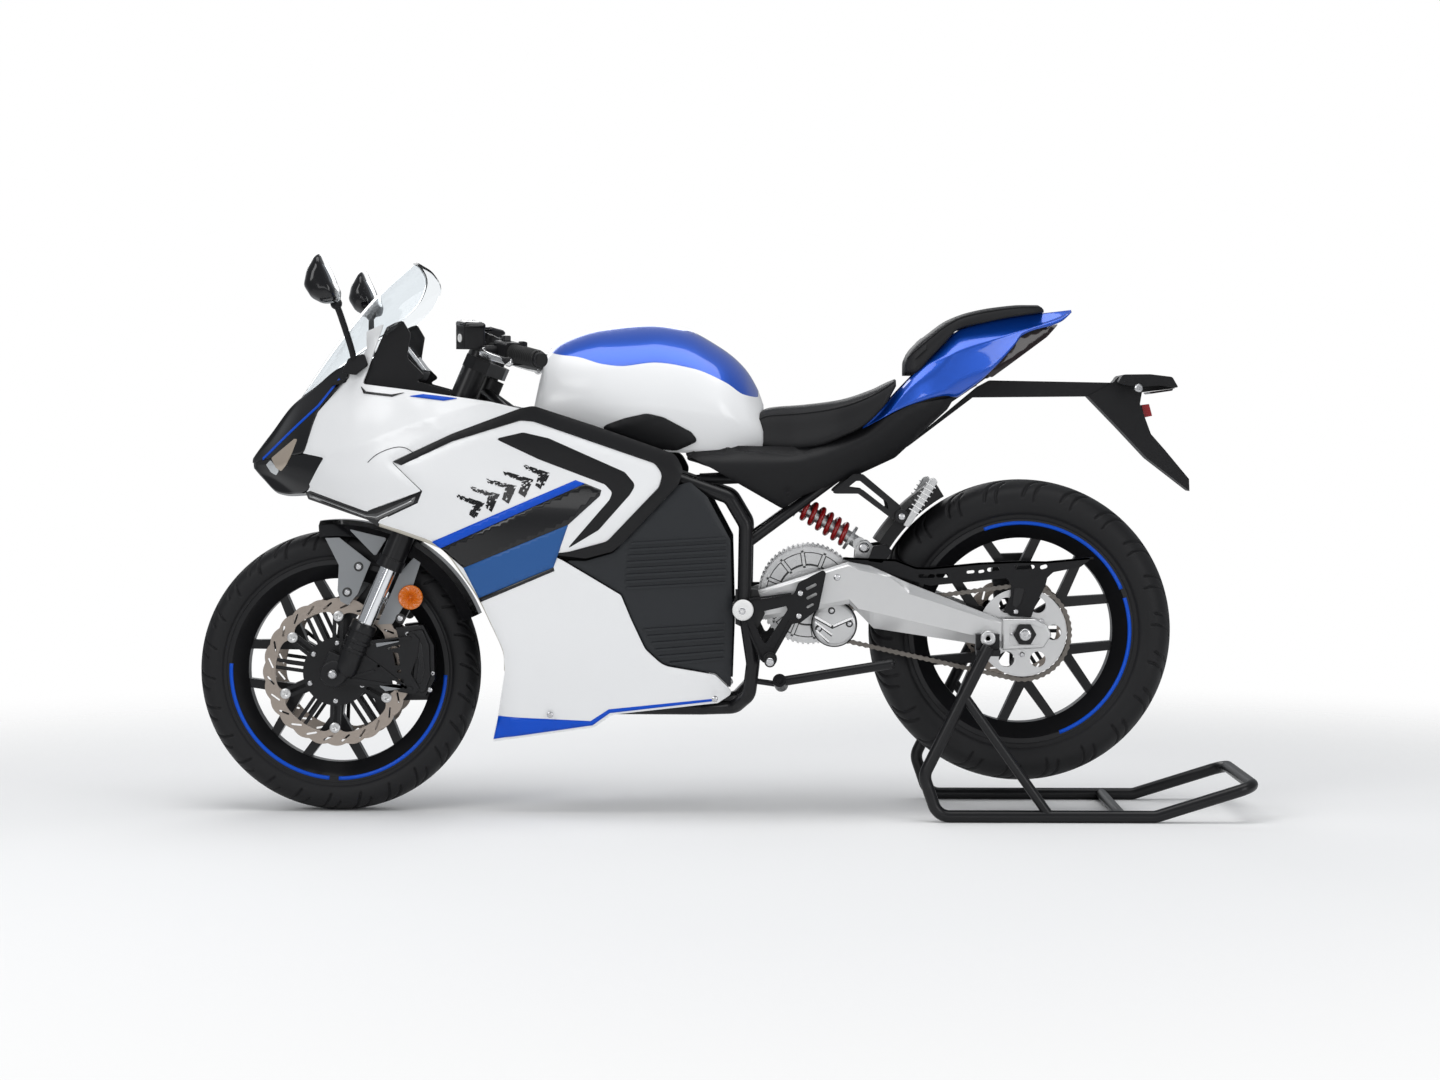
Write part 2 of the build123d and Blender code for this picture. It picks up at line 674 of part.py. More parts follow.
def chain_loop(offset):
    """The chain's side outline: two circles joined by their outer tangents."""
    rear = CHAIN_ROLLER_CIRCLE + offset
    front = MOTOR_CIRCLE + offset
    run = Vector(REAR_AXLE.X - MOTOR_SPROCKET.X, 0, REAR_AXLE.Z - MOTOR_SPROCKET.Z)
    heading = math.atan2(run.Z, run.X)
    lean = math.acos((front - rear) / run.length)
    with BuildSketch(side_plane(0)) as loop:
        corners = []
        for centre, radius, turn in (
            (MOTOR_SPROCKET, front, lean),
            (REAR_AXLE, rear, lean),
            (REAR_AXLE, rear, -lean),
            (MOTOR_SPROCKET, front, -lean),
        ):
            corners.append(
                (
                    centre.X + radius * math.cos(heading + turn),
                    centre.Z + radius * math.sin(heading + turn),
                )
            )
        Polygon(*corners, align=None)
        with Locations((MOTOR_SPROCKET.X, MOTOR_SPROCKET.Z)):
            Circle(front)
        with Locations((REAR_AXLE.X, REAR_AXLE.Z)):
            Circle(rear)
    return loop.sketch


CHAIN_HALF = 9
with BuildPart() as chain:
    outer_loop = chain_loop(5.5)
    inner_loop = chain_loop(-4)
    for side in (-1, 1):
        with BuildSketch(side_plane(CHAIN_PLANE + side * 6)) as plates:
            add(outer_loop)
            add(inner_loop, mode=Mode.SUBTRACT)
        extrude(plates.sketch, amount=-side * 3)
chain.part.label = "chain"
export_step(chain.part, "parts/chain.step")

CHAIN_GUARD_OUTLINE = (
    (250, 534),
    (366, 494),
    (488, 486),
    (591, 506),
    (759, 533),
    (720, 500),
    (672, 481),
    (586, 500),
    (484, 480),
    (362, 488),
)
with BuildPart() as chain_guard:
    add_side_plate(CHAIN_GUARD_OUTLINE, -98, -101)
    add_side_plate(((588, 500), (606, 503), (634, 420), (610, 408)), -98, -101)
chain_guard.part.label = "chain_guard"
export_step(chain_guard.part, "parts/chain_guard.step")

with BuildPart() as rear_hugger:
    with BuildSketch(wheel_plane(REAR_AXLE)) as shell:
        Polygon(
            (-84, 322), (-72, 346), (-40, 358), (40, 358), (72, 346), (84, 322),
            (81, 322), (70, 343), (39, 355), (-39, 355), (-70, 343), (-81, 322),
            align=None,
        )
    revolve(shell.sketch, axis=Axis(REAR_AXLE, (0, -1, 0)), revolution_arc=28)
rear_hugger_part = rear_hugger.part.rotate(Axis(REAR_AXLE, (0, -1, 0)), 30)
rear_hugger_part.label = "rear_hugger"
export_step(rear_hugger_part, "parts/rear_hugger.step")

SHOCK_TOP = Vector(150, 0, 645)
SHOCK_EYE = Vector(286, 0, 557)
shock_run = SHOCK_EYE - SHOCK_TOP
shock_plane = Plane(origin=SHOCK_TOP, x_dir=(0, 1, 0), z_dir=shock_run)
with BuildPart() as shock_body:
    with BuildSketch(shock_plane) as rod:
        Circle(13)
    extrude(rod.sketch, amount=shock_run.length)
    for distance in (10, shock_run.length - 26):
        with BuildSketch(shock_plane.offset(distance)) as collar:
            Circle(27)
        extrude(collar.sketch, amount=6)
    add_cross_cylinder(SHOCK_TOP, 14, 16, -16)
    add_cross_cylinder(SHOCK_EYE, 14, 16, -16)
shock_body.part.label = "shock_body"
export_step(shock_body.part, "parts/shock_body.step")

SPRING_PITCH = 19
with BuildPart() as shock_spring:
    spring_length = shock_run.length - 26 - 16
    with BuildLine() as coil_path:
        Helix(
            pitch=SPRING_PITCH,
            height=spring_length - 14,
            radius=20.5,
            center=SHOCK_TOP + shock_run.normalized() * 23,
            direction=shock_run,
        )
    with BuildSketch(Plane(origin=coil_path.line @ 0, z_dir=coil_path.line % 0)) as wire:
        Circle(5)
    sweep(wire.sketch, path=coil_path.line, is_frenet=True)
shock_spring.part.label = "shock_spring"
export_step(shock_spring.part, "parts/shock_spring.step")

# ---------------------------------------------------------------- fairing
# columns: x, then (half width, height) at floor, low side, widest, high side and top
FAIRING_STATIONS = (
    (-962, ((6, 712), (10, 718), (12, 725), (10, 731), (5, 736))),
    (-870, ((60, 650), (84, 690), (96, 735), (85, 800), (55, 862))),
    (-740, ((95, 560), (140, 620), (160, 700), (150, 820), (118, 950))),
    (-690, ((95, 520), (158, 600), (178, 700), (158, 850), (140, 1015))),
    (-560, ((95, 380), (175, 540), (203, 700), (200, 790), (175, 880))),
    (-400, ((90, 120), (175, 400), (213, 680), (212, 760), (190, 860))),
    (-200, ((100, 140), (170, 400), (207, 660), (206, 730), (180, 830))),
    (45, ((115, 190), (152, 380), (178, 600), (178, 660), (160, 740))),
)
fairing_outer = make_hull(FAIRING_STATIONS, 0)
fairing_inner = make_hull(FAIRING_STATIONS, PANEL)
fairing_proud = make_hull(FAIRING_STATIONS, -2)

# side outlines as (x, z); neighbours share their edges' points
NOSE_TIP = (-958, 727)
NOSE_COVER_OUTLINE = (
    (-979, 727),
    (-924, 740),
    (-863, 746),
    (-830, 832),
    (-760, 908),
    (-782, 921),
    (-893, 841),
)
CHIN_OUTLINE = ((-979, 727), (-920, 660), (-862, 663), (-815, 737), (-863, 746), (-924, 740))
UPPER_COWL_OUTLINE = (
    (-830, 832),
    (-736, 934),
    (-727, 996),
    (-688, 1012),
    (-733, 889),
    (-732, 884),
    (-469, 853),
    (-403, 838),
    (-666, 729),
    (-604, 670),
    (-724, 627),
    (-849, 668),
    (-862, 663),
    (-815, 737),
    (-863, 746),
)
RUNNING_LAMP_OUTLINE = (
    (-862, 663),
    (-849, 668),
    (-724, 627),
    (-604, 670),
    (-614, 646),
    (-699, 607),
    (-699, 594),
    (-724, 609),
    (-857, 649),
)
SIDE_FAIRING_OUTLINE = (
    (-699, 603),
    (-648, 588),
    (-585, 567),
    (-558, 550),
    (-492, 452),
    (-444, 343),
    (-443, 301),
    (-473, 148),
    (-260, 182),
    (-223, 209),
    (-6, 234),
    (27, 256),
    (-11, 294),
    (-117, 313),
    (-153, 347),
    (-181, 409),
    (-201, 459),
    (-316, 529),
    (-341, 542),
    (-305, 547),
    (-228, 568),
    (-123, 678),
    (-115, 704),
    (-131, 727),
    (-377, 812),
    (-403, 814),
    (-666, 729),
    (-604, 670),
    (-614, 646),
    (-699, 607),
)
TRIM_STRIP_OUTLINE = (
    (-666, 729),
    (-403, 838),
    (-377, 843),
    (-254, 801),
    (-90, 745),
    (-74, 714),
    (-84, 683),
    (-197, 565),
    (-218, 542),
    (-272, 528),
    (-315, 529),
    (-341, 542),
    (-305, 547),
    (-228, 568),
    (-123, 678),
    (-115, 704),
    (-131, 727),
    (-377, 812),
    (-403, 814),
)
BATTERY_COVER_OUTLINE = (
    (-70, 678),
    (-84, 683),
    (-197, 565),
    (-218, 542),
    (-272, 528),
    (-315, 529),
    (-201, 459),
    (-181, 409),
    (-153, 347),
    (-117, 313),
    (-11, 294),
    (21, 262),
    (26, 400),
    (22, 571),
    (4, 606),
    (-30, 655),
)
# columns: x, half width and height of the lower edge, height of the middle
SCREEN_STATIONS = (
    (-886, 16, 845, 857),
    (-847, 58, 872, 920),
    (-796, 88, 905, 987),
    (-719, 116, 950, 1079),
    (-644, 128, 990, 1144),
    (-590, 126, 1010, 1186),
)
SCREEN_OUTLINE = (
    (-893, 846),
    (-782, 926),
    (-729, 968),
    (-684, 1012),
    (-645, 1032),
    (-600, 1071),
    (-594, 1100),
    (-640, 1144),
    (-660, 1200),
    (-900, 1200),
)


def screen_section(x, half, edge, top):
    with BuildSketch(Plane.YZ.offset(x)) as face:
        with BuildLine():
            Line((half, edge), (-half, edge))
            ThreePointArc((-half, edge), (0, top), (half, edge))
        make_face()
    return face.sketch


def make_screen(inset):
    with BuildPart() as body:
        loft([screen_section(x, w - inset, e - 0.001 * inset, t - inset) for x, w, e, t in SCREEN_STATIONS], ruled=True)
    return body.part


with BuildPart() as nose_cover:
    add_panel((fairing_outer, fairing_inner), NOSE_COVER_OUTLINE, 0)
nose_cover.part.label = "nose_cover"
export_step(nose_cover.part, "parts/nose_cover.step")

with BuildPart() as headlight:
    add_panel((fairing_outer, None), CHIN_OUTLINE, 0)
headlight.part.label = "headlight"
export_step(headlight.part, "parts/headlight.step")

with BuildPart() as upper_cowl:
    add_panel((fairing_outer, fairing_inner), UPPER_COWL_OUTLINE, 0)
    with BuildSketch(Plane.YZ.offset(-820)) as middle:
        with Locations((0, 900)):
            Rectangle(190, 260)
    extrude(middle.sketch, amount=500, mode=Mode.SUBTRACT)
    with BuildSketch(Plane.YZ.offset(-900)) as belly:
        with Locations((0, 560)):
            Rectangle(180, 300)
    extrude(belly.sketch, amount=500, mode=Mode.SUBTRACT)
    add(make_screen(-1), mode=Mode.SUBTRACT)
upper_cowl.part.label = "upper_cowl"
export_step(upper_cowl.part, "parts/upper_cowl.step")

with BuildPart() as running_lamps:
    add_panel((fairing_outer, fairing_inner), RUNNING_LAMP_OUTLINE, 0)
    with BuildSketch(Plane.YZ.offset(-900)) as belly:
        with Locations((0, 560)):
            Rectangle(120, 300)
    extrude(belly.sketch, amount=500, mode=Mode.SUBTRACT)
running_lamps.part.label = "running_lamps"
export_step(running_lamps.part, "parts/running_lamps.step")

with BuildPart() as side_fairing_left:
    add_panel((fairing_outer, fairing_inner), SIDE_FAIRING_OUTLINE, -1)
side_fairing_left.part.label = "side_fairing_left"
export_step(side_fairing_left.part, "parts/side_fairing_left.step")

with BuildPart() as side_fairing_right:
    add_panel((fairing_outer, fairing_inner), SIDE_FAIRING_OUTLINE, 1)
side_fairing_right.part.label = "side_fairing_right"
export_step(side_fairing_right.part, "parts/side_fairing_right.step")

with BuildPart() as trim_strips:
    add_panel((fairing_proud, fairing_inner), TRIM_STRIP_OUTLINE, -1)
    mirror(about=Plane.XZ)
trim_strips.part.label = "trim_strips"
export_step(trim_strips.part, "parts/trim_strips.step")

with BuildPart() as battery_covers:
    add_panel((fairing_outer, fairing_inner), BATTERY_COVER_OUTLINE, -1)
    mirror(about=Plane.XZ)
battery_covers.part.label = "battery_covers"
export_step(battery_covers.part, "parts/battery_covers.step")

with BuildPart() as windscreen:
    add_panel((make_screen(0), make_screen(PANEL)), SCREEN_OUTLINE, 0)
windscreen.part.label = "windscreen"
export_step(windscreen.part, "parts/windscreen.step")

COCKPIT_OUTLINE = (
    (-760, 868),
    (-735, 900),
    (-690, 1000),
    (-655, 1012),
    (-645, 946),
    (-606, 909),
    (-625, 898),
    (-650, 868),
)
with BuildPart() as cockpit_panel:
    with BuildSketch(side_plane(110)) as hood:
        Polygon(*COCKPIT_OUTLINE, align=None)
    extrude(hood.sketch, amount=220)
cockpit_panel.part.label = "cockpit_panel"
export_step(cockpit_panel.part, "parts/cockpit_panel.step")

MIRROR_OUTLINE = ((-787, 1140), (-754, 1064), (-755, 1048), (-794, 1044), (-820, 1076), (-814, 1109), (-798, 1138))
with BuildPart() as mirrors:
    add_side_plate(MIRROR_OUTLINE, 225, 352)
    add_tube(((-752, 132, 930), (-768, 180, 990), (-786, 262, 1062)), 40, 14)
    mirror(about=Plane.XZ)
mirrors.part.label = "mirrors"
export_step(mirrors.part, "parts/mirrors.step")

# ---------------------------------------------------------------- tank, seat and tail
# columns: x, floor (half width, height), side (half width, height), shoulder, top height
TANK_STATIONS = (
    (-388, (95, 780), (104, 815), (80, 845), 852),
    (-352, (110, 770), (122, 850), (88, 935), 964),
    (-246, (128, 760), (150, 860), (108, 965), 1007),
    (-130, (132, 750), (158, 850), (118, 960), 1014),
    (-10, (120, 745), (146, 840), (100, 925), 968),
    (50, (100, 742), (118, 810), (75, 885), 920),
    (86, (80, 740), (88, 790), (55, 825), 842),
)


def tank_section(x, floor, side, shoulder, top):
    with BuildSketch(Plane.YZ.offset(x)) as face:
        with BuildLine():
            Line((-floor[0], floor[1]), floor)
            ThreePointArc(floor, side, shoulder)
            ThreePointArc(shoulder, (0, top), (-shoulder[0], shoulder[1]))
            ThreePointArc((-shoulder[0], shoulder[1]), (-side[0], side[1]), (-floor[0], floor[1]))
        make_face()
    return face.sketch


with BuildPart() as tank:
    loft([tank_section(*row) for row in TANK_STATIONS], ruled=True)
tank.part.label = "tank"
export_step(tank.part, "parts/tank.step")

TAIL_STATIONS = (
    (-90, ((120, 640), (150, 690), (158, 720), (150, 735), (120, 740))),
    (120, ((110, 620), (145, 680), (155, 715), (148, 722), (120, 730))),
    (290, ((90, 690), (122, 740), (134, 770), (130, 778), (110, 784))),
    (392, ((70, 760), (100, 800), (115, 840), (112, 880), (92, 905))),
    (430, ((60, 790), (90, 820), (106, 860), (105, 900), (85, 940))),
    (487, ((54, 830), (82, 860), (98, 900), (97, 950), (78, 1000))),
    (591, ((40, 880), (62, 900), (78, 940), (76, 985), (58, 1024))),
    (720, ((20, 1010), (28, 1015), (32, 1022), (28, 1030), (20, 1038))),
)
SIDE_COVER_OUTLINE = (
    (-80, 748),
    (28, 752),
    (147, 742),
    (287, 796),
    (392, 845),
    (480, 860),
    (465, 835),
    (358, 736),
    (281, 701),
    (168, 659),
    (126, 631),
    (-42, 729),
)
TAIL_COWL_OUTLINE = (
    (288, 798),
    (392, 905),
    (430, 941),
    (487, 1001),
    (591, 1025),
    (724, 1040),
    (701, 1018),
    (616, 987),
    (537, 909),
    (523, 888),
    (480, 860),
    (392, 845),
)
TAIL_LAMP_OUTLINE = ((701, 1018), (616, 987), (537, 909), (553, 898), (597, 910), (690, 1008))
tail_outer = make_hull(TAIL_STATIONS, 0)
tail_inner = make_hull(TAIL_STATIONS, PANEL)
with BuildPart() as side_covers:
    add_panel((tail_outer, tail_inner), SIDE_COVER_OUTLINE, -1)
    with BuildSketch(Plane.YZ.offset(-100)) as middle:
        with Locations((0, 800)):
            Rectangle(150, 600)
    extrude(middle.sketch, amount=700, mode=Mode.SUBTRACT)
    mirror(about=Plane.XZ)
side_covers.part.label = "side_covers"
export_step(side_covers.part, "parts/side_covers.step")

with BuildPart() as tail_cowl:
    add_panel((tail_outer, tail_inner), TAIL_COWL_OUTLINE, 0)
tail_cowl.part.label = "tail_cowl"
export_step(tail_cowl.part, "parts/tail_cowl.step")

with BuildPart() as tail_lamp:
    add_panel((tail_outer, None), TAIL_LAMP_OUTLINE, 0)
tail_lamp.part.label = "tail_lamp"
export_step(tail_lamp.part, "parts/tail_lamp.step")


def add_pad(side_outline, plan_outline):
    """A cushion: what a side outline and a plan outline have in common."""
    with BuildSketch(side_plane(200)) as profile:
        Polygon(*side_outline, align=None)
    extrude(profile.sketch, amount=400)
    with BuildSketch(Plane.XY.offset(600)) as plan:
        Polygon(*(plan_outline + tuple((x, -y) for x, y in reversed(plan_outline))), align=None)
    extrude(plan.sketch, amount=600, mode=Mode.INTERSECT)


SEAT_OUTLINE = (
    (30, 772),
    (59, 814),
    (98, 841),
    (168, 845),
    (238, 855),
    (309, 877),
    (354, 898),
    (358, 884),
    (337, 848),
    (287, 799),
    (189, 757),
    (126, 750),
)
SEAT_PLAN = ((28, 72), (98, 92), (168, 124), (250, 142), (330, 138), (360, 120))
PILLION_OUTLINE = (
    (384, 910),
    (375, 938),
    (398, 969),
    (465, 1019),
    (511, 1036),
    (564, 1047),
    (649, 1053),
    (664, 1036),
    (591, 1026),
    (487, 1002),
    (430, 942),
    (394, 908),
)
PILLION_PLAN = ((372, 80), (400, 92), (500, 94), (600, 84), (655, 66), (666, 48))
with BuildPart() as seat:
    add_pad(SEAT_OUTLINE, SEAT_PLAN)
    add(tank.part, mode=Mode.SUBTRACT)
seat.part.label = "seat"
export_step(seat.part, "parts/seat.step")

with BuildPart() as pillion_seat:
    add_pad(PILLION_OUTLINE, PILLION_PLAN)
pillion_seat.part.label = "pillion_seat"
export_step(pillion_seat.part, "parts/pillion_seat.step")

RAIL_OUTLINE = (
    (372, 752),
    (388, 762),
    (520, 862),
    (760, 864),
    (806, 868),
    (808, 892),
    (554, 897),
    (530, 884),
)
HOLDER_OUTLINE = (
    (757, 864),
    (819, 800),
    (879, 736),
    (967, 668),
    (966, 693),
    (916, 753),
    (887, 786),
    (864, 848),
    (868, 872),
    (936, 880),
    (918, 898),
    (818, 903),
    (806, 890),
)
with BuildPart() as plate_holder:
    add_side_plate(RAIL_OUTLINE, 26, -26)
    add_side_plate(HOLDER_OUTLINE, 30, -30)
plate_holder.part.label = "plate_holder"
export_step(plate_holder.part, "parts/plate_holder.step")

# ---------------------------------------------------------------- rests, brake and stands
REARSET_OUTLINE = (
    (46, 452),
    (150, 468),
    (214, 498),
    (220, 480),
    (204, 420),
    (166, 400),
    (142, 400),
    (96, 330),
    (70, 372),
)
PEG_CENTRE = Vector(101, 0, 331)
with BuildPart() as rearsets:
    add_side_plate(REARSET_OUTLINE, 180, 188, ((100, 430, 14), (176, 456, 8), (180, 430, 6)))
    add_cross_cylinder(PEG_CENTRE, 14, 176, 200)
    add_cross_cylinder(PEG_CENTRE, 11, 200, 272)
    mirror(about=Plane.XZ)
rearsets.part.label = "rearsets"
export_step(rearsets.part, "parts/rearsets.step")

HANGER_OUTLINE = ((222, 664), (270, 704), (290, 704), (366, 640), (370, 612), (350, 612), (280, 664))
with BuildPart() as passenger_pegs:
    add_side_plate(HANGER_OUTLINE, 116, 124)
    add_tube(((376, 128, 612), (430, 128, 690)), 0, 18)
    add_cross_cylinder(Vector(368, 0, 618), 14, 116, 140)
    mirror(about=Plane.XZ)
passenger_pegs.part.label = "passenger_pegs"
export_step(passenger_pegs.part, "parts/passenger_pegs.step")

REAR_CALIPER_OUTLINE = ((572, 440), (566, 500), (580, 534), (640, 536), (652, 500), (640, 436))
with BuildPart() as rear_caliper:
    add_side_plate(REAR_CALIPER_OUTLINE, 60, 96)
    with BuildSketch(side_plane(REAR_DISC_PLANE + DISC_SLOT, REAR_AXLE)) as slot:
        Circle(REAR_DISC_RADIUS + 6)
    extrude(slot.sketch, amount=2 * DISC_SLOT, mode=Mode.SUBTRACT)
rear_caliper.part.label = "rear_caliper"
export_step(rear_caliper.part, "parts/rear_caliper.step")

stand_plane = Plane(origin=STAND_PIVOT - STAND_AXIS * STAND_BOSS / 2, z_dir=STAND_AXIS)
with BuildPart() as side_stand:
    add_tube((STAND_PIVOT, STAND_FOOT), 0, 20)
    with Locations(STAND_FOOT):
        Sphere(10)
    with BuildSketch(stand_plane) as boss:
        Circle(14)
    extrude(boss.sketch, amount=STAND_BOSS)
    with BuildSketch(stand_plane) as bore:
        Circle(STAND_PIN + 0.05)
    extrude(bore.sketch, amount=3 * STAND_BOSS, both=True, mode=Mode.SUBTRACT)
side_stand.part.label = "side_stand"
export_step(side_stand.part, "parts/side_stand.step")

FLOOR_LINE = STAND_TUBE / 2
HOOK_FLOOR = SPOOL.Z - SPOOL_GROOVE
HOOK_OUTLINE = (
    (SPOOL.X - 24, HOOK_FLOOR - 20),
    (SPOOL.X + 24, HOOK_FLOOR - 20),
    (SPOOL.X + 24, SPOOL.Z + 8),
    (SPOOL.X + 12, SPOOL.Z + 8),
    (SPOOL.X + 12, HOOK_FLOOR),
    (SPOOL.X - 12, HOOK_FLOOR),
    (SPOOL.X - 12, SPOOL.Z + 8),
    (SPOOL.X - 24, SPOOL.Z + 8),
)
HOOK_BASE = (
    (SPOOL.X - 24, HOOK_FLOOR - 24),
    (SPOOL.X + 24, HOOK_FLOOR - 24),
    (SPOOL.X + 24, HOOK_FLOOR - 12),
    (SPOOL.X - 24, HOOK_FLOOR - 12),
)
with BuildPart() as paddock_stand:
    rail = (
        (SPOOL.X, STAND_TRACK, 356),
        (412, STAND_TRACK, 95),
        (440, STAND_TRACK, FLOOR_LINE),
        (880, STAND_TRACK, FLOOR_LINE),
        (STAND_END_X - FLOOR_LINE, STAND_TRACK, 75),
        (STAND_END_X - FLOOR_LINE, -STAND_TRACK, 75),
        (880, -STAND_TRACK, FLOOR_LINE),
        (440, -STAND_TRACK, FLOOR_LINE),
        (412, -STAND_TRACK, 95),
        (SPOOL.X, -STAND_TRACK, 356),
    )
    add_tube(rail, 34, STAND_TUBE)
    add_tube(((812, STAND_TRACK, FLOOR_LINE), (812, -STAND_TRACK, FLOOR_LINE)), 0, STAND_TUBE - 2)
    for side in (-1, 1):
        add_tube(((495, side * STAND_TRACK, 254), (664, side * STAND_TRACK, FLOOR_LINE + 4)), 0, 20)
        add_side_plate(HOOK_OUTLINE, side * 146, side * 166)
        add_side_plate(HOOK_BASE, side * 146, side * STAND_TRACK)
paddock_stand.part.label = "paddock_stand"
export_step(paddock_stand.part, "parts/paddock_stand.step")
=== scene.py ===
import math
import random

import bmesh
import bpy
import numpy as np
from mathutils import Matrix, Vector
from mathutils.geometry import delaunay_2d_cdt


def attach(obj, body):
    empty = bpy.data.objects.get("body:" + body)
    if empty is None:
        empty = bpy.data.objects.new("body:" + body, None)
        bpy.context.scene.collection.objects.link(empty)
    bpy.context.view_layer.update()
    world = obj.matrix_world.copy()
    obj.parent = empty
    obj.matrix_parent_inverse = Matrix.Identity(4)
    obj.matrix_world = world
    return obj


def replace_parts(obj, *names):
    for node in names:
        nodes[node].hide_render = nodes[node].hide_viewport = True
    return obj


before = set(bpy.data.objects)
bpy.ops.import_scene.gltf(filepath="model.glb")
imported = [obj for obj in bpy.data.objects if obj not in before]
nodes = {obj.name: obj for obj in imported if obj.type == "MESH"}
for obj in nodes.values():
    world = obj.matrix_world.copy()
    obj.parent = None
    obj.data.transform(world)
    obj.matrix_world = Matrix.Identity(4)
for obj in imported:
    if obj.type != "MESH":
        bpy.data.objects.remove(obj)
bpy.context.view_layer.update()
random.seed(7)
MM = 0.001
BOTH = (-1, 1)
WORDS = ((-1, "left"), (1, "right"))
# points that several parts share, as (x, z)
FRONT_AXLE, REAR_AXLE = (-798, 293), (618, 379)
PIVOT, SPOOL, FOOTPEG = (46, 430), (542, 372), (101, 331)


# ------------------------------------------------------------------ camera, light and world
camera_data = bpy.data.cameras.new("camera")
camera_data.lens = 71.95
camera_data.sensor_width = 36
camera = bpy.data.objects.new("camera", camera_data)
bpy.context.scene.collection.objects.link(camera)
camera.location = (0.1267, -6.0, 0.7756)
aim = Vector((-0.0046, 0, 0.565)) - camera.location
camera.rotation_euler = aim.to_track_quat("-Z", "Y").to_euler()
bpy.context.scene.camera = camera
bpy.context.scene.view_settings.view_transform = "Standard"


def softbox(name, place, target, size, power):
    """A rectangular area light that looks at a target."""
    light = bpy.data.lights.new(name, "AREA")
    light.shape = "RECTANGLE"
    light.size, light.size_y = size
    light.energy = power
    lamp = bpy.data.objects.new(name, light)
    bpy.context.scene.collection.objects.link(lamp)
    lamp.location = place
    lamp.rotation_euler = (Vector(target) - Vector(place)).to_track_quat("-Z", "Y").to_euler()


softbox("light_top", (0.2, -0.6, 3.6), (0, 0, 0.5), (4.2, 2.2), 74)
softbox("light_key", (-2.6, -3.4, 2.3), (-0.2, 0, 0.5), (1.7, 2.2), 44)
softbox("light_fill", (3.0, -3.2, 1.5), (0.3, 0, 0.5), (1.6, 2.2), 34)
softbox("light_back", (-1.2, 3.4, 2.4), (0, 0, 0.6), (3.0, 1.8), 40)
softbox("light_low", (0.0, -4.2, 0.35), (0, 0, 0.4), (3.4, 0.5), 9)

world = bpy.data.worlds.new("studio")
bpy.context.scene.world = world
world.use_nodes = True
wt = world.node_tree
wt.nodes.clear()
w_out = wt.nodes.new("ShaderNodeOutputWorld")
w_mix = wt.nodes.new("ShaderNodeMixShader")
w_path = wt.nodes.new("ShaderNodeLightPath")
w_white = wt.nodes.new("ShaderNodeBackground")
w_white.inputs[0].default_value = (1, 1, 1, 1)
w_white.inputs[1].default_value = 1.0
w_room = wt.nodes.new("ShaderNodeBackground")
w_room.inputs[0].default_value = (0.93, 0.96, 1.0, 1)
w_room.inputs[1].default_value = 0.36
w_see = wt.nodes.new("ShaderNodeMath")
w_see.operation = "MAXIMUM"
wt.links.new(w_path.outputs["Is Camera Ray"], w_see.inputs[0])
wt.links.new(w_path.outputs["Is Transmission Ray"], w_see.inputs[1])
wt.links.new(w_see.outputs[0], w_mix.inputs[0])
wt.links.new(w_room.outputs[0], w_mix.inputs[1])
wt.links.new(w_white.outputs[0], w_mix.inputs[2])
wt.links.new(w_mix.outputs[0], w_out.inputs[0])


# ------------------------------------------------------------------ materials


def material(name, color, rough=0.5, metal=0.0, coat=0.0, coat_rough=0.05, grain=0.0, grain_size=900.0,
             shift=0.05, spec=0.5, through=0.0, ior=1.45):
    """A Principled surface with procedural variation of colour and roughness, and optional grain."""
    m = bpy.data.materials.new(name)
    m.use_nodes = True
    nt = m.node_tree
    bsdf = nt.nodes["Principled BSDF"]
    bsdf.inputs["Metallic"].default_value = metal
    bsdf.inputs["IOR"].default_value = ior
    bsdf.inputs["Specular IOR Level"].default_value = spec
    bsdf.inputs["Coat Weight"].default_value = coat
    bsdf.inputs["Coat Roughness"].default_value = coat_rough
    bsdf.inputs["Transmission Weight"].default_value = through
    coord = nt.nodes.new("ShaderNodeTexCoord")
    noise = nt.nodes.new("ShaderNodeTexNoise")
    noise.inputs["Scale"].default_value = 11
    noise.inputs["Detail"].default_value = 4
    nt.links.new(coord.outputs["Object"], noise.inputs["Vector"])
    gloss = nt.nodes.new("ShaderNodeMapRange")
    gloss.inputs["To Min"].default_value = max(rough * (1 - 3 * shift), 0.0)
    gloss.inputs["To Max"].default_value = min(rough * (1 + 3 * shift), 1.0)
    nt.links.new(noise.outputs["Fac"], gloss.inputs["Value"])
    nt.links.new(gloss.outputs["Result"], bsdf.inputs["Roughness"])
    tone = nt.nodes.new("ShaderNodeMix")
    tone.data_type = "RGBA"
    tone.inputs["A"].default_value = (*[c * (1 - shift) for c in color], 1)
    tone.inputs["B"].default_value = (*[min(c * (1 + shift), 1) for c in color], 1)
    nt.links.new(noise.outputs["Fac"], tone.inputs["Factor"])
    nt.links.new(tone.outputs["Result"], bsdf.inputs["Base Color"])
    if grain:
        fine = nt.nodes.new("ShaderNodeTexNoise")
        fine.inputs["Scale"].default_value = grain_size
        fine.inputs["Detail"].default_value = 2
        nt.links.new(coord.outputs["Object"], fine.inputs["Vector"])
        bump = nt.nodes.new("ShaderNodeBump")
        bump.inputs["Strength"].default_value = grain
        bump.inputs["Distance"].default_value = 0.0006
        nt.links.new(fine.outputs["Fac"], bump.inputs["Height"])
        nt.links.new(bump.outputs["Normal"], bsdf.inputs["Normal"])
    return m


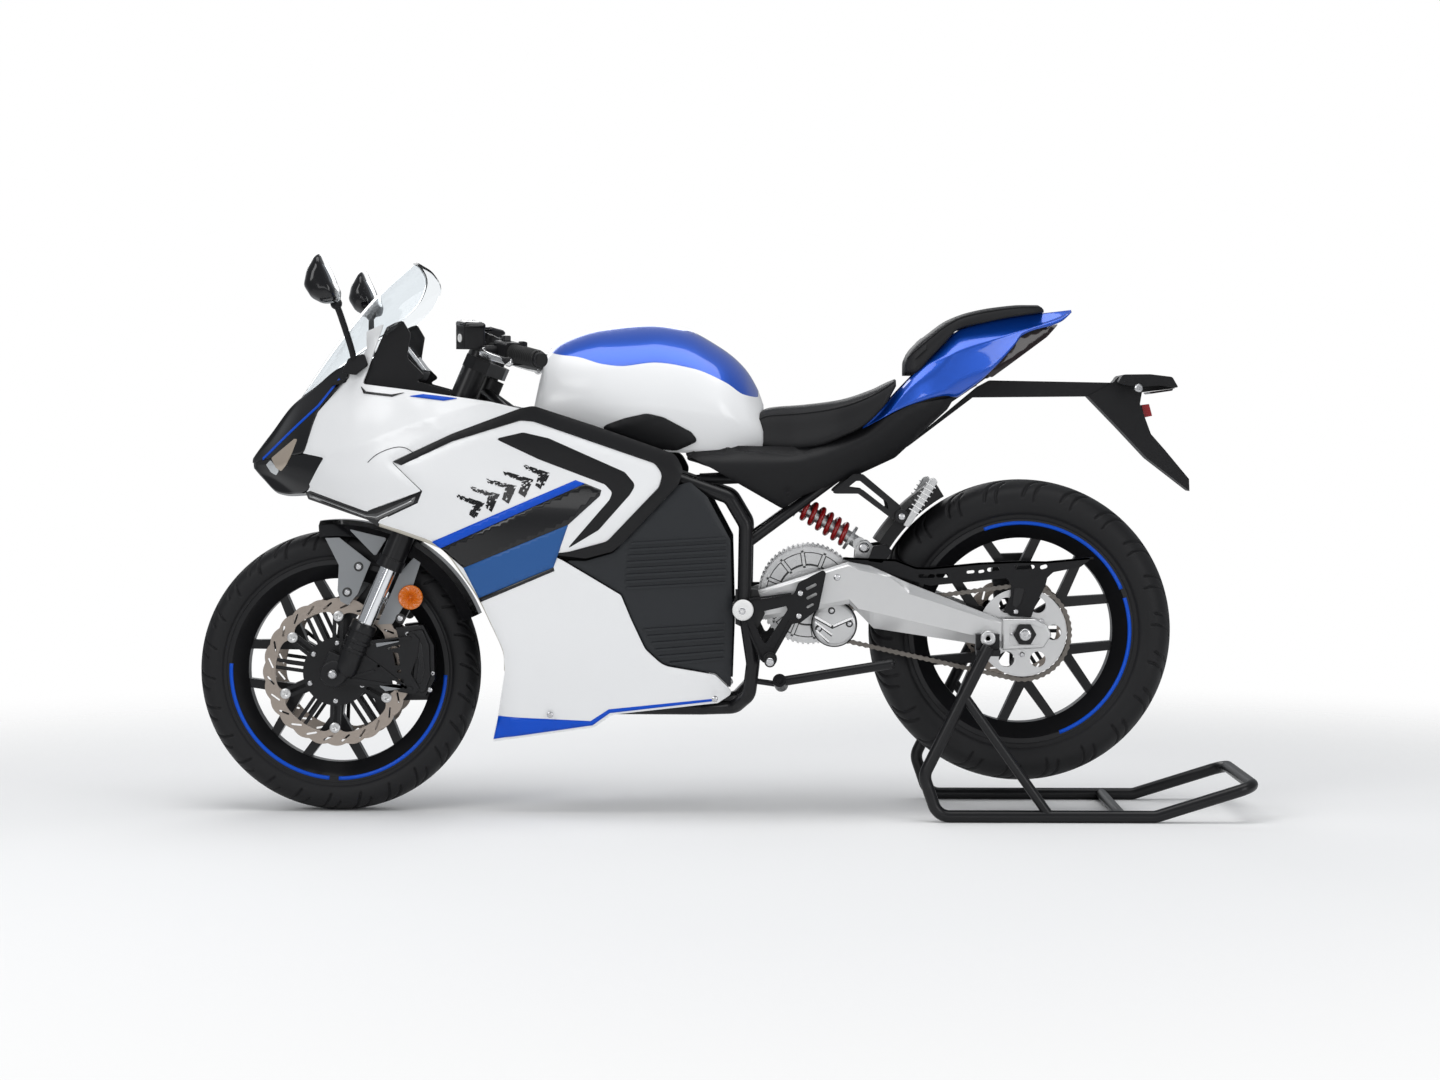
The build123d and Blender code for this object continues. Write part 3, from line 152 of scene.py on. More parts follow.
M = {
    "white": material("gloss_white", (0.86, 0.865, 0.87), 0.32, coat=0.45, coat_rough=0.16, shift=0.006),
    "blue": material(
        "metallic_blue", (0.004, 0.085, 0.56), 0.3, metal=0.5, coat=1.0, shift=0.05, grain=0.12,
        grain_size=2600,
    ),
    "decal_blue": material("stripe_blue", (0.0, 0.075, 0.58), 0.34, coat=0.1, shift=0.02, spec=0.25),
    "steel_blue": material("stripe_steel_blue", (0.022, 0.10, 0.31), 0.34, coat=0.1, shift=0.04, spec=0.25),
    "gloss_black": material("gloss_black", (0.005, 0.005, 0.006), 0.16, coat=0.35, shift=0.03, spec=0.35),
    "black": material(
        "satin_black_frame", (0.007, 0.007, 0.008), 0.34, coat=0.08, shift=0.06, grain=0.05, grain_size=500,
        spec=0.32,
    ),
    "plastic": material(
        "textured_black_plastic", (0.009, 0.009, 0.010), 0.48, grain=0.35, grain_size=1500, spec=0.26
    ),
    "grey": material("dark_grey_plastic", (0.024, 0.026, 0.029), 0.42, grain=0.2, grain_size=1200, spec=0.28),
    "strip": material("trim_black", (0.011, 0.011, 0.012), 0.38, grain=0.1, grain_size=1200, spec=0.26),
    "gap": material("panel_gap", (0.05, 0.05, 0.055), 0.6),
    "silver": material("cast_aluminium", (0.62, 0.62, 0.62), 0.34, metal=0.9, grain=0.16, grain_size=700),
    "bright": material("polished_aluminium", (0.70, 0.70, 0.70), 0.2, metal=1.0, shift=0.03),
    "chrome": material("hard_chrome", (0.80, 0.81, 0.83), 0.08, metal=1.0, shift=0.02),
    "steel": material("bolt_steel", (0.55, 0.55, 0.56), 0.27, metal=1.0),
    # dark washers under screws, and painted shade in the adjuster slot, the motor well, the screw wells and
    # beside ribs and ridges
    "washer": material("dark_washer_and_painted_shade", (0.06, 0.06, 0.06), 0.4, metal=0.8),
    "disc": material("disc_steel", (0.36, 0.31, 0.27), 0.34, metal=0.85, grain=0.2, grain_size=500),
    "chain": material("chain_steel", (0.17, 0.155, 0.14), 0.36, metal=0.9),
    "red": material("spring_red", (0.42, 0.008, 0.010), 0.28, coat=0.6, shift=0.06),
    "red_lens": material("red_reflector", (0.30, 0.004, 0.008), 0.12, coat=1.0, shift=0.05),
    "smoke": material("smoked_tail_lens", (0.010, 0.003, 0.004), 0.12, coat=0.4, shift=0.04, spec=0.4),
    "rubber": material("grip_rubber", (0.011, 0.011, 0.011), 0.62, grain=0.3, grain_size=800, spec=0.35),
    "tyre": material(
        "tyre_rubber", (0.011, 0.011, 0.012), 0.55, grain=0.25, grain_size=700, shift=0.1, spec=0.28
    ),
    "vinyl": material("seat_vinyl", (0.010, 0.010, 0.011), 0.50, grain=0.5, grain_size=620, spec=0.32),
    "amber": material("amber_reflector", (0.72, 0.17, 0.008), 0.2, coat=0.8),
    # grey paint of the fender brackets, and painted highlights along the edges of the caliper lug
    "grey_paint": material("grey_bracket_and_painted_highlight", (0.26, 0.27, 0.28), 0.38, metal=0.4, grain=0.1),
    "lens": material("lamp_lens", (0.50, 0.42, 0.34), 0.12, metal=0.5, coat=1.0),
    "clear_dark": material("light_bar_lens", (0.10, 0.10, 0.10), 0.10, metal=0.5, coat=1.0, shift=0.04),
    "clear": material("clear_lens", (0.62, 0.64, 0.66), 0.06, metal=0.4, coat=1.0, shift=0.02),
    "screen": material("clear_screen", (0.90, 0.93, 0.95), 0.02, through=1.0, shift=0.01, ior=1.25),
    "white_cap": material("white_cap", (0.80, 0.80, 0.79), 0.3, shift=0.01),
    "mirror": material("mirror_glass", (0.42, 0.44, 0.46), 0.04, metal=1.0, shift=0.01),
    "cream": material("cream_edge", (0.52, 0.49, 0.42), 0.35, shift=0.03),
}

# the nodes in each material; a node that a piece stands in for later isn't seen itself
SHOWN = {
    "black": ("main_frame subframe rear_rim front_rim fork_tubes yokes side_stand paddock_stand rearsets "
              "passenger_pegs front_calipers rear_caliper axle_clamps"),
    "silver": "swingarm shock_body sprocket motor",
    "chain": "chain",
    "plastic": ("battery_case chain_guard rear_hugger cockpit_panel controls plate_holder running_lamps "
                "battery_covers"),
    "red": "shock_spring",
    "gloss_black": "nose_cover mirrors side_covers front_fender",
    "lens": "headlight",
    "white": "upper_cowl side_fairing_left side_fairing_right tank",
    "strip": "trim_strips",
    "screen": "windscreen",
    "blue": "tail_cowl",
    "smoke": "tail_lamp",
    "vinyl": "seat pillion_seat",
    "chrome": "fork_stanchions",
    "rubber": "clip_ons",
    "grey_paint": "fender_brackets",
    "tyre": "front_tyre rear_tyre",
    "disc": "front_discs rear_disc",
}
for key, names in SHOWN.items():
    for name in names.split():
        nodes[name].data.materials.clear()
        nodes[name].data.materials.append(M[key])


# ------------------------------------------------------------------ mesh helpers, all in millimetres


def new_piece(name, points, faces, mats, body, smooth=True, face_mats=None):
    """A named mesh that rides on a body, with one material or a list and an index per face."""
    mesh = bpy.data.meshes.new(name)
    mesh.from_pydata([Vector(p) * MM for p in points], [], faces)
    for mat in (mats if isinstance(mats, (list, tuple)) else [mats]):
        mesh.materials.append(M[mat])
    if face_mats is not None:
        mesh.polygons.foreach_set("material_index", face_mats)
    mesh.polygons.foreach_set("use_smooth", [smooth] * len(mesh.polygons))
    bm = bmesh.new()
    bm.from_mesh(mesh)
    bmesh.ops.remove_doubles(bm, verts=bm.verts, dist=1e-6)
    bmesh.ops.recalc_face_normals(bm, faces=bm.faces)
    bm.to_mesh(mesh)
    bm.free()
    obj = bpy.data.objects.new(name, mesh)
    bpy.context.scene.collection.objects.link(obj)
    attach(obj, body)
    return obj


def soften(obj, width=1.0, angle=40, segments=2):
    """Rounded edges: a bevel on sharp edges that hardens the normals beside it."""
    bevel = obj.modifiers.new("bevel", "BEVEL")
    bevel.width = width * MM
    bevel.segments = segments
    bevel.limit_method = "ANGLE"
    bevel.angle_limit = math.radians(angle)
    bevel.harden_normals = True
    return obj


def through(knots):
    """A smooth curve through (x, y) knots that never overshoots them."""
    xs = np.array([k[0] for k in knots], float)
    ys = np.array([k[1] for k in knots], float)
    h = np.diff(xs)
    d = np.diff(ys) / h
    m = np.zeros(len(xs))
    for i in range(1, len(xs) - 1):
        if d[i - 1] * d[i] > 0:
            a, b = 2 * h[i] + h[i - 1], h[i] + 2 * h[i - 1]
            m[i] = (a + b) / (a / d[i - 1] + b / d[i])
    m[0], m[-1] = d[0], d[-1]

    def value(x):
        x = min(max(x, xs[0]), xs[-1])
        i = min(int(np.searchsorted(xs, x, side="right")) - 1, len(h) - 1)
        t = (x - xs[i]) / h[i]
        return float(
            (2 * t**3 - 3 * t**2 + 1) * ys[i] + (t**3 - 2 * t**2 + t) * h[i] * m[i]
            + (-2 * t**3 + 3 * t**2) * ys[i + 1] + (t**3 - t**2) * h[i] * m[i + 1]
        )

    return value


def body_surface(stations):
    """Half width at (x, z) of a body given by stations of (width, height) pairs."""
    rows = len(stations[0][1])
    wide = [through([(x, half[k][0]) for x, half in stations]) for k in range(rows)]
    high = [through([(x, half[k][1]) for x, half in stations]) for k in range(rows)]
    cache = {}

    def value(x, z):
        key = round(x, 1)
        if key not in cache:
            cache[key] = through([(high[k](x), wide[k](x)) for k in range(rows)])
        return cache[key](z)

    return value


def rounded(points, radius):
    """An outline with every corner rounded; a third value gives a corner its own radius."""
    out = []
    count = len(points)
    for i, p in enumerate(points):
        r = p[2] if len(p) > 2 else radius
        a, b, c = Vector(points[i - 1][:2]), Vector(p[:2]), Vector(points[(i + 1) % count][:2])
        u, v = a - b, c - b
        if r < 0.3 or u.length < 0.5 or v.length < 0.5:
            out.append(b)
            continue
        turn = u.angle(v)
        if turn > math.radians(177):
            out.append(b)
            continue
        t = min(r / math.tan(turn / 2), 0.47 * u.length, 0.47 * v.length)
        p0, p1 = b + u.normalized() * t, b + v.normalized() * t
        steps = max(2, int((math.pi - turn) / 0.14) + 1)
        for k in range(steps + 1):
            s = k / steps
            out.append((1 - s) ** 2 * p0 + 2 * s * (1 - s) * b + s * s * p1)
    return out


def inset_outline(points, amount):
    """Moves an outline inwards by an amount, whichever way round it runs."""
    area = sum(a.x * b.y - b.x * a.y for a, b in zip(points, points[1:] + points[:1]))
    turn = 1 if area > 0 else -1
    out = []
    for i, p in enumerate(points):
        a, b = points[i - 1], points[(i + 1) % len(points)]
        u = (p - a).normalized() if (p - a).length > 1e-6 else Vector((0, 0))
        v = (b - p).normalized() if (b - p).length > 1e-6 else Vector((0, 0))
        n = Vector((-(u.y + v.y), u.x + v.x)) * turn
        if n.length < 1e-6:
            out.append(p)
            continue
        n.normalize()
        scale = 1 / max(n.dot(Vector((-u.y, u.x)) * turn), 0.5) if u.length else 1
        out.append(p + n * amount * scale)
    return out


def resample(points, step):
    """An outline with its edges cut into lengths of at most a step."""
    out = []
    for a, b in zip(points, points[1:] + points[:1]):
        cuts = max(1, int(math.ceil((b - a).length / step)))
        out += [a.lerp(b, k / cuts) for k in range(cuts)]
    return out


def edge_distance(points, loop):
    """The distance of each point from the nearest edge of an outline."""
    p = np.array([(q.x, q.y) for q in points])[:, None, :]
    a = np.array([(q.x, q.y) for q in loop])[None, :, :]
    b = np.roll(a, -1, axis=1)
    d = b - a
    t = np.clip(((p - a) * d).sum(-1) / np.maximum((d * d).sum(-1), 1e-9), 0, 1)
    return np.sqrt((((a + t[..., None] * d) - p) ** 2).sum(-1)).min(1)


def inside(points, loop):
    """Which of the points lie inside an outline."""
    p = np.array([(q.x, q.y) for q in points])
    a = np.array([(q.x, q.y) for q in loop])
    b = np.roll(a, -1, axis=0)
    hit = np.zeros(len(p), int)
    for (ax, ay), (bx, by) in zip(a, b):
        if ay == by:
            continue
        crosses = (ay > p[:, 1]) != (by > p[:, 1])
        x = (bx - ax) * (p[:, 1] - ay) / (by - ay) + ax
        hit += crosses & (p[:, 0] < x)
    return hit % 2 == 1


def fill(loop, cell, lines=()):
    """Even triangles inside an outline, with edges along any lines across it: (points, faces)."""
    lo = Vector((min(p.x for p in loop), min(p.y for p in loop)))
    hi = Vector((max(p.x for p in loop), max(p.y for p in loop)))
    grid = []
    row = 0
    y = lo.y + cell / 2
    while y < hi.y:
        x = lo.x + (cell / 2 if row % 2 else 0)
        while x < hi.x:
            grid.append(Vector((x, y)))
            x += cell
        y += cell * 0.87
        row += 1
    rim = len(loop)
    extra, edges = [], []
    for line in lines:
        last = None
        for p, kept in zip(line, inside(line, loop) & (edge_distance(line, loop) > 0.8)):
            if kept:
                if last is not None:
                    edges.append((last, rim + len(extra)))
                last = rim + len(extra)
                extra.append(p)
            else:
                last = None
    if grid:
        keep = inside(grid, loop) & (edge_distance(grid, loop) > cell * 0.45)
        if extra:
            near = np.array([(q.x, q.y) for q in extra])
            here = np.array([(q.x, q.y) for q in grid])
            apart = np.hypot(here[:, None, 0] - near[None, :, 0], here[:, None, 1] - near[None, :, 1])
            keep &= apart.min(1) > cell * 0.42
        grid = [g for g, k in zip(grid, keep) if k]
    verts, _, faces, _, _, _ = delaunay_2d_cdt(loop + extra + grid, edges, [list(range(rim))], 1, 1e-4)
    return [Vector(v) for v in verts], [list(f) for f in faces]


def panel(name, outline, surface, mat, sides=BOTH, lift=0.0, thick=3.0, cell=11.0, gap=0.8, roll=1.4,
          corner=6.0, bevel=0.8, creases=()):
    """A moulded panel: an outline in (x, z) laid on a body surface, with rolled edges and real thickness."""
    loop = resample(rounded(outline, corner), cell * 0.8)
    if gap:
        loop = inset_outline(loop, gap)
    lines = []
    for crease, start, end in creases:
        for shift in (-1.3, 1.3):
            lines.append([Vector((x, crease(x) + shift)) for x in np.arange(start, end, cell * 0.5)])
    flat, tris = fill(loop, cell, lines)
    depth = edge_distance(flat, loop)
    points, faces = [], []
    for side in sides:
        base = len(points)
        outer, inner = [], []
        for p, d in zip(flat, depth):
            w = surface(p.x, p.y)
            dx = (surface(p.x + 2, p.y) - surface(p.x - 2, p.y)) / 4
            dz = (surface(p.x, p.y + 2) - surface(p.x, p.y - 2)) / 4
            n = Vector((-max(min(dx, 2), -2), 1, -max(min(dz, 2), -2))).normalized()
            drop = roll * max(0.0, 1 - d / 7) ** 2 if roll else 0
            top = Vector((p.x, w, p.y)) + n * (lift - drop)
            low = top - n * thick
            outer.append(Vector((top.x, side * max(top.y, 0.2), top.z)))
            inner.append(Vector((low.x, side * max(low.y, 0.1), low.z)))
        points += outer + inner
        count = len(outer)
        open_edges = {}
        for f in tris:
            for a, b in zip(f, f[1:] + f[:1]):
                open_edges[(a, b)] = True
        for f in tris:
            faces.append([base + i for i in f])
            faces.append([base + count + i for i in reversed(f)])
        for a, b in open_edges:
            if (b, a) not in open_edges:
                faces.append([base + b, base + a, base + count + a, base + count + b])
    obj = new_piece(name, points, faces, mat, "chassis")
    if bevel:
        soften(obj, bevel, 48)
    return obj


# settings of a plain film or skin: nothing is trimmed off its edge, which is neither rolled nor bevelled
FILM = {"gap": 0, "roll": 0, "bevel": 0}


def ring_angles(count):
    """Even angles once round, in radians."""
    return np.linspace(0, 2 * math.pi, count + 1)[:-1]


def at_angle(axle, radius, degrees):
    """The (x, z) at a radius and an angle round an axle."""
    a = math.radians(degrees)
    return axle[0] + radius * math.cos(a), axle[1] + radius * math.sin(a)


def row_faces(rows, width, closed=True, base=0):
    """Four-sided faces between rows of points; a closed row ends where it starts."""
    faces = []
    for i in range(base, base + (rows - 1) * width, width):
        for k in range(width if closed else width - 1):
            m = (k + 1) % width
            faces.append([i + k, i + m, i + width + m, i + width + k])
    return faces


def join(parts):
    """One set of points and faces made of several."""
    points, faces = [], []
    for more_points, more_faces in parts:
        faces += [[len(points) + i for i in face] for face in more_faces]
        points += more_points
    return points, faces


def two_skins(outer, inner):
    """Points and faces of a closed shell between an outer and an inner grid of points."""
    n, count = len(outer[0]), len(outer)
    off = n * count
    points = [p for row in outer + inner for p in row]
    faces = []
    for face in row_faces(count, n, False):
        faces += [face, [off + i for i in reversed(face)]]
    edges = [(i * n + k, (i + 1) * n + k) for i in range(count - 1) for k in (0, n - 1)]
    edges += [(i * n + k, i * n + k + 1) for k in range(n - 1) for i in (0, count - 1)]
    faces += [[a, b, off + b, off + a] for a, b in edges]
    return points, faces


# the screws of the whole bike, gathered as (body, material): (points, faces)
BOLTS = {}


def bolt(body, place, axis, radius=5.0, height=4.0, mat="steel", socket=True):
    """A button-head screw with a hexagon socket, pointing along an axis."""
    axis = Vector(axis).normalized()
    side = axis.orthogonal().normalized()
    up = axis.cross(side)
    place = Vector(place)
    points, faces = BOLTS.setdefault((body, mat), ([], []))
    base = len(points)
    steps = 24
    rings = [(radius, 0), (radius, height * 0.45), (radius * 0.86, height * 0.8), (radius * 0.6, height)]
    for r, h in rings:
        for i in range(steps):
            a = 2 * math.pi * i / steps
            points.append(place + (side * math.cos(a) + up * math.sin(a)) * r + axis * h)
    for depth in (height, height * 0.35):
        for i in range(steps):
            a = 2 * math.pi * i / steps
            part = (a % (math.pi / 3)) - math.pi / 6
            r = radius * 0.46 * math.cos(math.pi / 6) / math.cos(part)
            if not socket:
                r = radius * 0.3
            points.append(place + (side * math.cos(a) + up * math.sin(a)) * r + axis * depth)
    faces += row_faces(6, steps, True, base)
    faces.append([base + 5 * steps + i for i in range(steps)])
    faces.append([base + i for i in reversed(range(steps))])


def spline_points(points, per):
    """A smooth Catmull-Rom curve through points, with a number of steps between each two."""
    pts = [Vector(p) for p in points]
    ext = [pts[0] * 2 - pts[1]] + pts + [pts[-1] * 2 - pts[-2]]
    out = []
    for i in range(1, len(ext) - 2):
        a, b, c, d = ext[i - 1:i + 3]
        for k in range(per):
            t = k / per
            bend, twist = 2 * a - 5 * b + 4 * c - d, 3 * b - a - 3 * c + d
            out.append(0.5 * ((2 * b) + (c - a) * t + bend * t * t + twist * t**3))
    out.append(pts[-1])
    return out


def grid_shape(rows, closed=True, cap=True):
    """Points and faces of a surface through rows of points of equal length."""
    n = len(rows[0])
    faces = row_faces(len(rows), n, closed)
    if cap:
        faces.append(list(range(n)))
        faces.append([(len(rows) - 1) * n + k for k in range(n)])
    return [p for row in rows for p in row], faces


def grid_piece(name, rows, mat, body, closed=False, cap=False):
    """An open surface through rows of points."""
    return new_piece(name, *grid_shape(rows, closed, cap), mat, body)


def lofted(name, rows, mat, body):
    """A closed body through rings of points."""
    return new_piece(name, *grid_shape(rows), mat, body)


def tube(name, path, radius, mat, body, ring=12):
    """A round tube along a smooth curve through points."""
    path = spline_points(path, 8) if len(path) > 2 else [Vector(p) for p in path]
    rows = []
    normal = (path[1] - path[0]).orthogonal().normalized()
    for i, p in enumerate(path):
        along = (path[min(i + 1, len(path) - 1)] - path[max(i - 1, 0)]).normalized()
        normal = (normal - along * normal.dot(along)).normalized()
        other = along.cross(normal)
        angles = [2 * math.pi * k / ring for k in range(ring)]
        rows.append([p + (normal * math.cos(a) + other * math.sin(a)) * radius for a in angles])
    return lofted(name, rows, mat, body)


def solid(obj, thickness, offset=-1.0):
    """Gives a surface real thickness."""
    shell = obj.modifiers.new("solidify", "SOLIDIFY")
    shell.thickness = thickness * MM
    shell.offset = offset
    shell.use_even_offset = True
    return obj


def drawn_out(loops, y0, y1, sides=(1,)):
    """Points and faces of side outlines drawn out between two distances across the bike."""
    points, faces = [], []
    for side in sides:
        for loop in loops:
            base, n = len(points), len(loop)
            points += [(q[0], side * y, q[1]) for y in (y0, y1) for q in loop]
            faces.append([base + i for i in range(n)])
            faces.append([base + n + i for i in reversed(range(n))])
            for i in range(n):
                j = (i + 1) % n
                faces.append([base + i, base + j, base + n + j, base + n + i])
    return points, faces


def slab(name, outline, y0, y1, mat, body="chassis", corner=2.0, bevel=1.0, sides=(1,)):
    """A plate with rounded corners and edges."""
    obj = new_piece(name, *drawn_out([rounded(outline, corner)], y0, y1, sides), mat, body)
    return soften(obj, bevel, 35) if bevel else obj


def bars(name, loops, y0, y1, mat, body="chassis", sides=(1,)):
    """Flat bars, each cut to its own outline, in one piece."""
    return new_piece(name, *drawn_out(loops, y0, y1, sides), mat, body, smooth=False)


def holed(name, loops, y0, y1, mat, body="chassis", sides=(1,)):
    """A flat plate with openings: the first loop is its edge and the others are cut out of it."""
    loops = [[Vector(p[:2]) for p in loop] for loop in loops]
    marks, start = [], 0
    for loop in loops:
        marks.append(list(range(start, start + len(loop))))
        start += len(loop)
    verts, _, tris, _, _, _ = delaunay_2d_cdt([p for loop in loops for p in loop], [], marks, 1, 1e-4)
    middles = [(verts[t[0]] + verts[t[1]] + verts[t[2]]) / 3 for t in tris]
    cut = np.zeros(len(tris), bool)
    for loop in loops[1:]:
        cut |= inside(middles, loop)
    tris = [list(t) for t, gone in zip(tris, cut) if not gone]
    points, faces, n = [], [], len(verts)
    for side in sides:
        base = len(points)
        points += [(v.x, side * y, v.y) for y in (y0, y1) for v in verts]
        faces += [[base + k for k in t] for t in tris]
        faces += [[base + n + k for k in reversed(t)] for t in tris]
        for mark in marks:
            for i, j in zip(mark, mark[1:] + mark[:1]):
                faces.append([base + i, base + j, base + n + j, base + n + i])
    return new_piece(name, points, faces, mat, body, smooth=False)


def slot_loop(x0, z0, x1, z1, width, steps=6):
    """The outline of a round-ended slot between the middles of its two ends."""
    turn = math.atan2(z1 - z0, x1 - x0) - math.pi / 2
    out = []
    for cx, cz, start in ((x1, z1, turn), (x0, z0, turn + math.pi)):
        for k in range(steps + 1):
            t = start + math.pi * k / steps
            out.append(Vector((cx + width / 2 * math.cos(t), cz + width / 2 * math.sin(t))))
    return out


def polar_loop(axle, radius, steps=96):
    """A closed outline round an axle; radius is a number or a function of the angle in degrees."""
    out = []
    for k in range(steps):
        a = 360 * k / steps
        r = radius(a) if callable(radius) else radius
        out.append(Vector(at_angle(axle, r, a)))
    return out


def even(points, count):
    """Evenly spaced points along a polyline."""
    steps = [0.0]
    for a, b in zip(points, points[1:]):
        steps.append(steps[-1] + (b - a).length)
    out, k = [], 0
    for i in range(count):
        s = steps[-1] * i / (count - 1)
        while k < len(points) - 2 and steps[k + 1] < s:
            k += 1
        span = max(steps[k + 1] - steps[k], 1e-9)
        out.append(points[k].lerp(points[k + 1], min((s - steps[k]) / span, 1)))
    return out


# ------------------------------------------------------------------ body surfaces
# columns: x, then (half width, height) at floor, low side, widest, high side and top
FAIRING = (
    (-985, ((2, 700), (3, 715), (4, 726), (3, 732), (2, 740))),
    (-962, ((14, 700), (22, 716), (26, 726), (20, 736), (10, 752))),
    (-870, ((60, 650), (84, 690), (96, 735), (85, 800), (50, 862))),
    (-740, ((95, 560), (140, 620), (160, 700), (150, 820), (118, 950))),
    (-690, ((95, 520), (158, 600), (178, 700), (158, 850), (136, 1015))),
    (-560, ((95, 380), (175, 540), (203, 700), (200, 790), (175, 880))),
    (-400, ((90, 120), (175, 400), (213, 680), (212, 760), (190, 860))),
    (-200, ((100, 140), (170, 400), (207, 660), (206, 730), (180, 830))),
    (45, ((115, 190), (152, 380), (178, 600), (178, 660), (160, 740))),
)
TAIL = (
    (-90, ((120, 640), (150, 690), (158, 720), (150, 735), (120, 750))),
    (120, ((110, 620), (145, 680), (155, 715), (148, 735), (120, 755))),
    (290, ((90, 690), (122, 740), (134, 770), (130, 778), (110, 800))),
    (392, ((70, 760), (100, 800), (115, 840), (112, 880), (92, 905))),
    (430, ((60, 790), (90, 820), (106, 860), (105, 900), (85, 940))),
    (487, ((54, 830), (82, 860), (98, 900), (97, 950), (78, 1000))),
    (591, ((40, 880), (62, 900), (78, 940), (76, 985), (58, 1024))),
    (724, ((18, 1005), (26, 1012), (30, 1020), (28, 1030), (16, 1042))),
)
fairing = body_surface(FAIRING)
tail = body_surface(TAIL)

COWL = (
    (-830, 832, 10), (-794, 872, 20), (-770, 902, 20), (-746, 930, 20), (-727, 960, 14), (-727, 996, 6),
    (-688, 1012, 3), (-733, 889, 6), (-600, 872, 60), (-469, 853, 30), (-403, 838, 6), (-403, 834, 2),
    (-540, 786, 80), (-666, 729, 4), (-604, 670, 4), (-724, 627, 12), (-849, 668, 8), (-862, 663, 2),
    (-815, 737, 3), (-863, 746, 4),
)
LAMP_STRIP = (
    (-862, 663, 2), (-849, 668, 6), (-724, 627, 8), (-604, 670, 2), (-614, 646, 4), (-699, 607, 10),
    (-699, 594, 3), (-724, 609, 10), (-857, 649, 4),
)
SIDE = (
    (-699, 603, 2), (-648, 588, 20), (-585, 567, 25), (-558, 550, 20), (-492, 452, 120), (-444, 343, 60),
    (-443, 301, 60), (-473, 150, 4), (-260, 182, 20), (-223, 209, 24), (-6, 234, 6), (27, 256, 12),
    (-11, 294, 16), (-117, 313, 50), (-153, 347, 40), (-181, 409, 50), (-201, 459, 16), (-316, 529, 20),
    (-341, 542, 4), (-305, 547, 30), (-228, 568, 30), (-123, 678, 20), (-115, 704, 24), (-131, 727, 20),
    (-377, 812, 40), (-403, 814, 20), (-540, 772, 80), (-666, 729, 2), (-604, 670, 2), (-614, 646, 4),
    (-699, 607, 10),
)
STRIP = (
    (-664, 729, 1), (-540, 787, 80), (-403, 838, 30), (-377, 843, 30), (-254, 803, 40), (-90, 745, 30),
    (-74, 714, 24), (-84, 683, 20), (-197, 565, 30), (-218, 548, 12), (-272, 534, 30), (-341, 542, 2),
    (-305, 547, 30), (-228, 568, 30), (-123, 678, 20), (-115, 704, 24), (-131, 727, 20), (-377, 812, 40),
    (-403, 814, 20), (-540, 771, 80), (-646, 722, 1),
)
BATTERY = (
    (-60, 690, 10), (-84, 683, 8), (-197, 565, 20), (-218, 544, 12), (-272, 528, 30), (-315, 529, 4),
    (-201, 459, 20), (-181, 409, 40), (-153, 347, 40), (-117, 313, 40), (-11, 294, 20), (21, 262, 4),
    (26, 400, 4), (22, 571, 10), (4, 606, 24), (-25, 660, 24),
)
CHEVRON = (
    (-453, 776, 4), (-397, 789, 20), (-345, 777, 30), (-192, 709, 14), (-170, 683, 14), (-182, 663, 14),
    (-245, 592, 10), (-310, 553, 2), (-223, 653, 12), (-217, 668, 10), (-232, 684, 10), (-366, 735, 8),
)

COWL_CREASE = through((
    (-840, 716), (-794, 740), (-693, 781), (-616, 809), (-547, 828), (-496, 843), (-440, 858)
))


def cowl(x, z):
    """The cowl's half width: a ridge runs along it, and the side leans in above."""
    rise = z - COWL_CREASE(x)
    fade = min(max((x + 835) / 70, 0), 1) * min(max((-410 - x) / 110, 0), 1)
    if rise > 0:
        return fairing(x, z) + fade * (4 - 11 * (1 - math.exp(-rise / 26)))
    return fairing(x, z) + fade * 4 * math.exp(rise / 30)


def seam(name, line, surface, mat="gap", width=1.6, lift=0.3):
    """A thin line along a body surface, such as the gap between two panels."""
    flat = [Vector(q) for q in line]
    left, right = [], []
    for i, q in enumerate(flat):
        along = (flat[min(i + 1, len(flat) - 1)] - flat[max(i - 1, 0)]).normalized()
        across = Vector((-along.y, along.x)) * width / 2
        left.append(tuple(q + across))
        right.append(tuple(q - across))
    outline = left + right[::-1]
    return panel(name, outline, surface, mat, lift=lift, thick=0.4, cell=6, corner=0.2, **FILM)


for side, name in WORDS:
    side_panel = panel(f"side_panel_{name}", SIDE, fairing, "white", sides=(side,), roll=2.2)
    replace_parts(side_panel, f"side_fairing_{name}")
cowl_panels = panel(
    "cowl_panels", COWL, cowl, "white", lift=1.2, roll=2.4, creases=((COWL_CREASE, -826, -412),)
)
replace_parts(cowl_panels, "upper_cowl")
arc = spline_points([(-716, 728), (-700, 742), (-678, 753), (-654, 759), (-636, 757), (-622, 749)], 6)
seam("cowl_seam", arc, cowl, lift=1.6)
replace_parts(panel("lamp_strips", LAMP_STRIP, fairing, "gloss_black", lift=-2.5, roll=0.6), "running_lamps")
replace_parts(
    panel("trim_bands", STRIP, fairing, "strip", lift=2.0, thick=5, roll=1.6, cell=8, gap=0.3), "trim_strips"
)
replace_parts(panel("battery_shells", BATTERY, fairing, "grey", lift=-5, roll=3), "battery_covers")
panel("scale_chevrons", CHEVRON, fairing, "strip", lift=1.2, thick=2, cell=8, gap=0, roll=0.8)

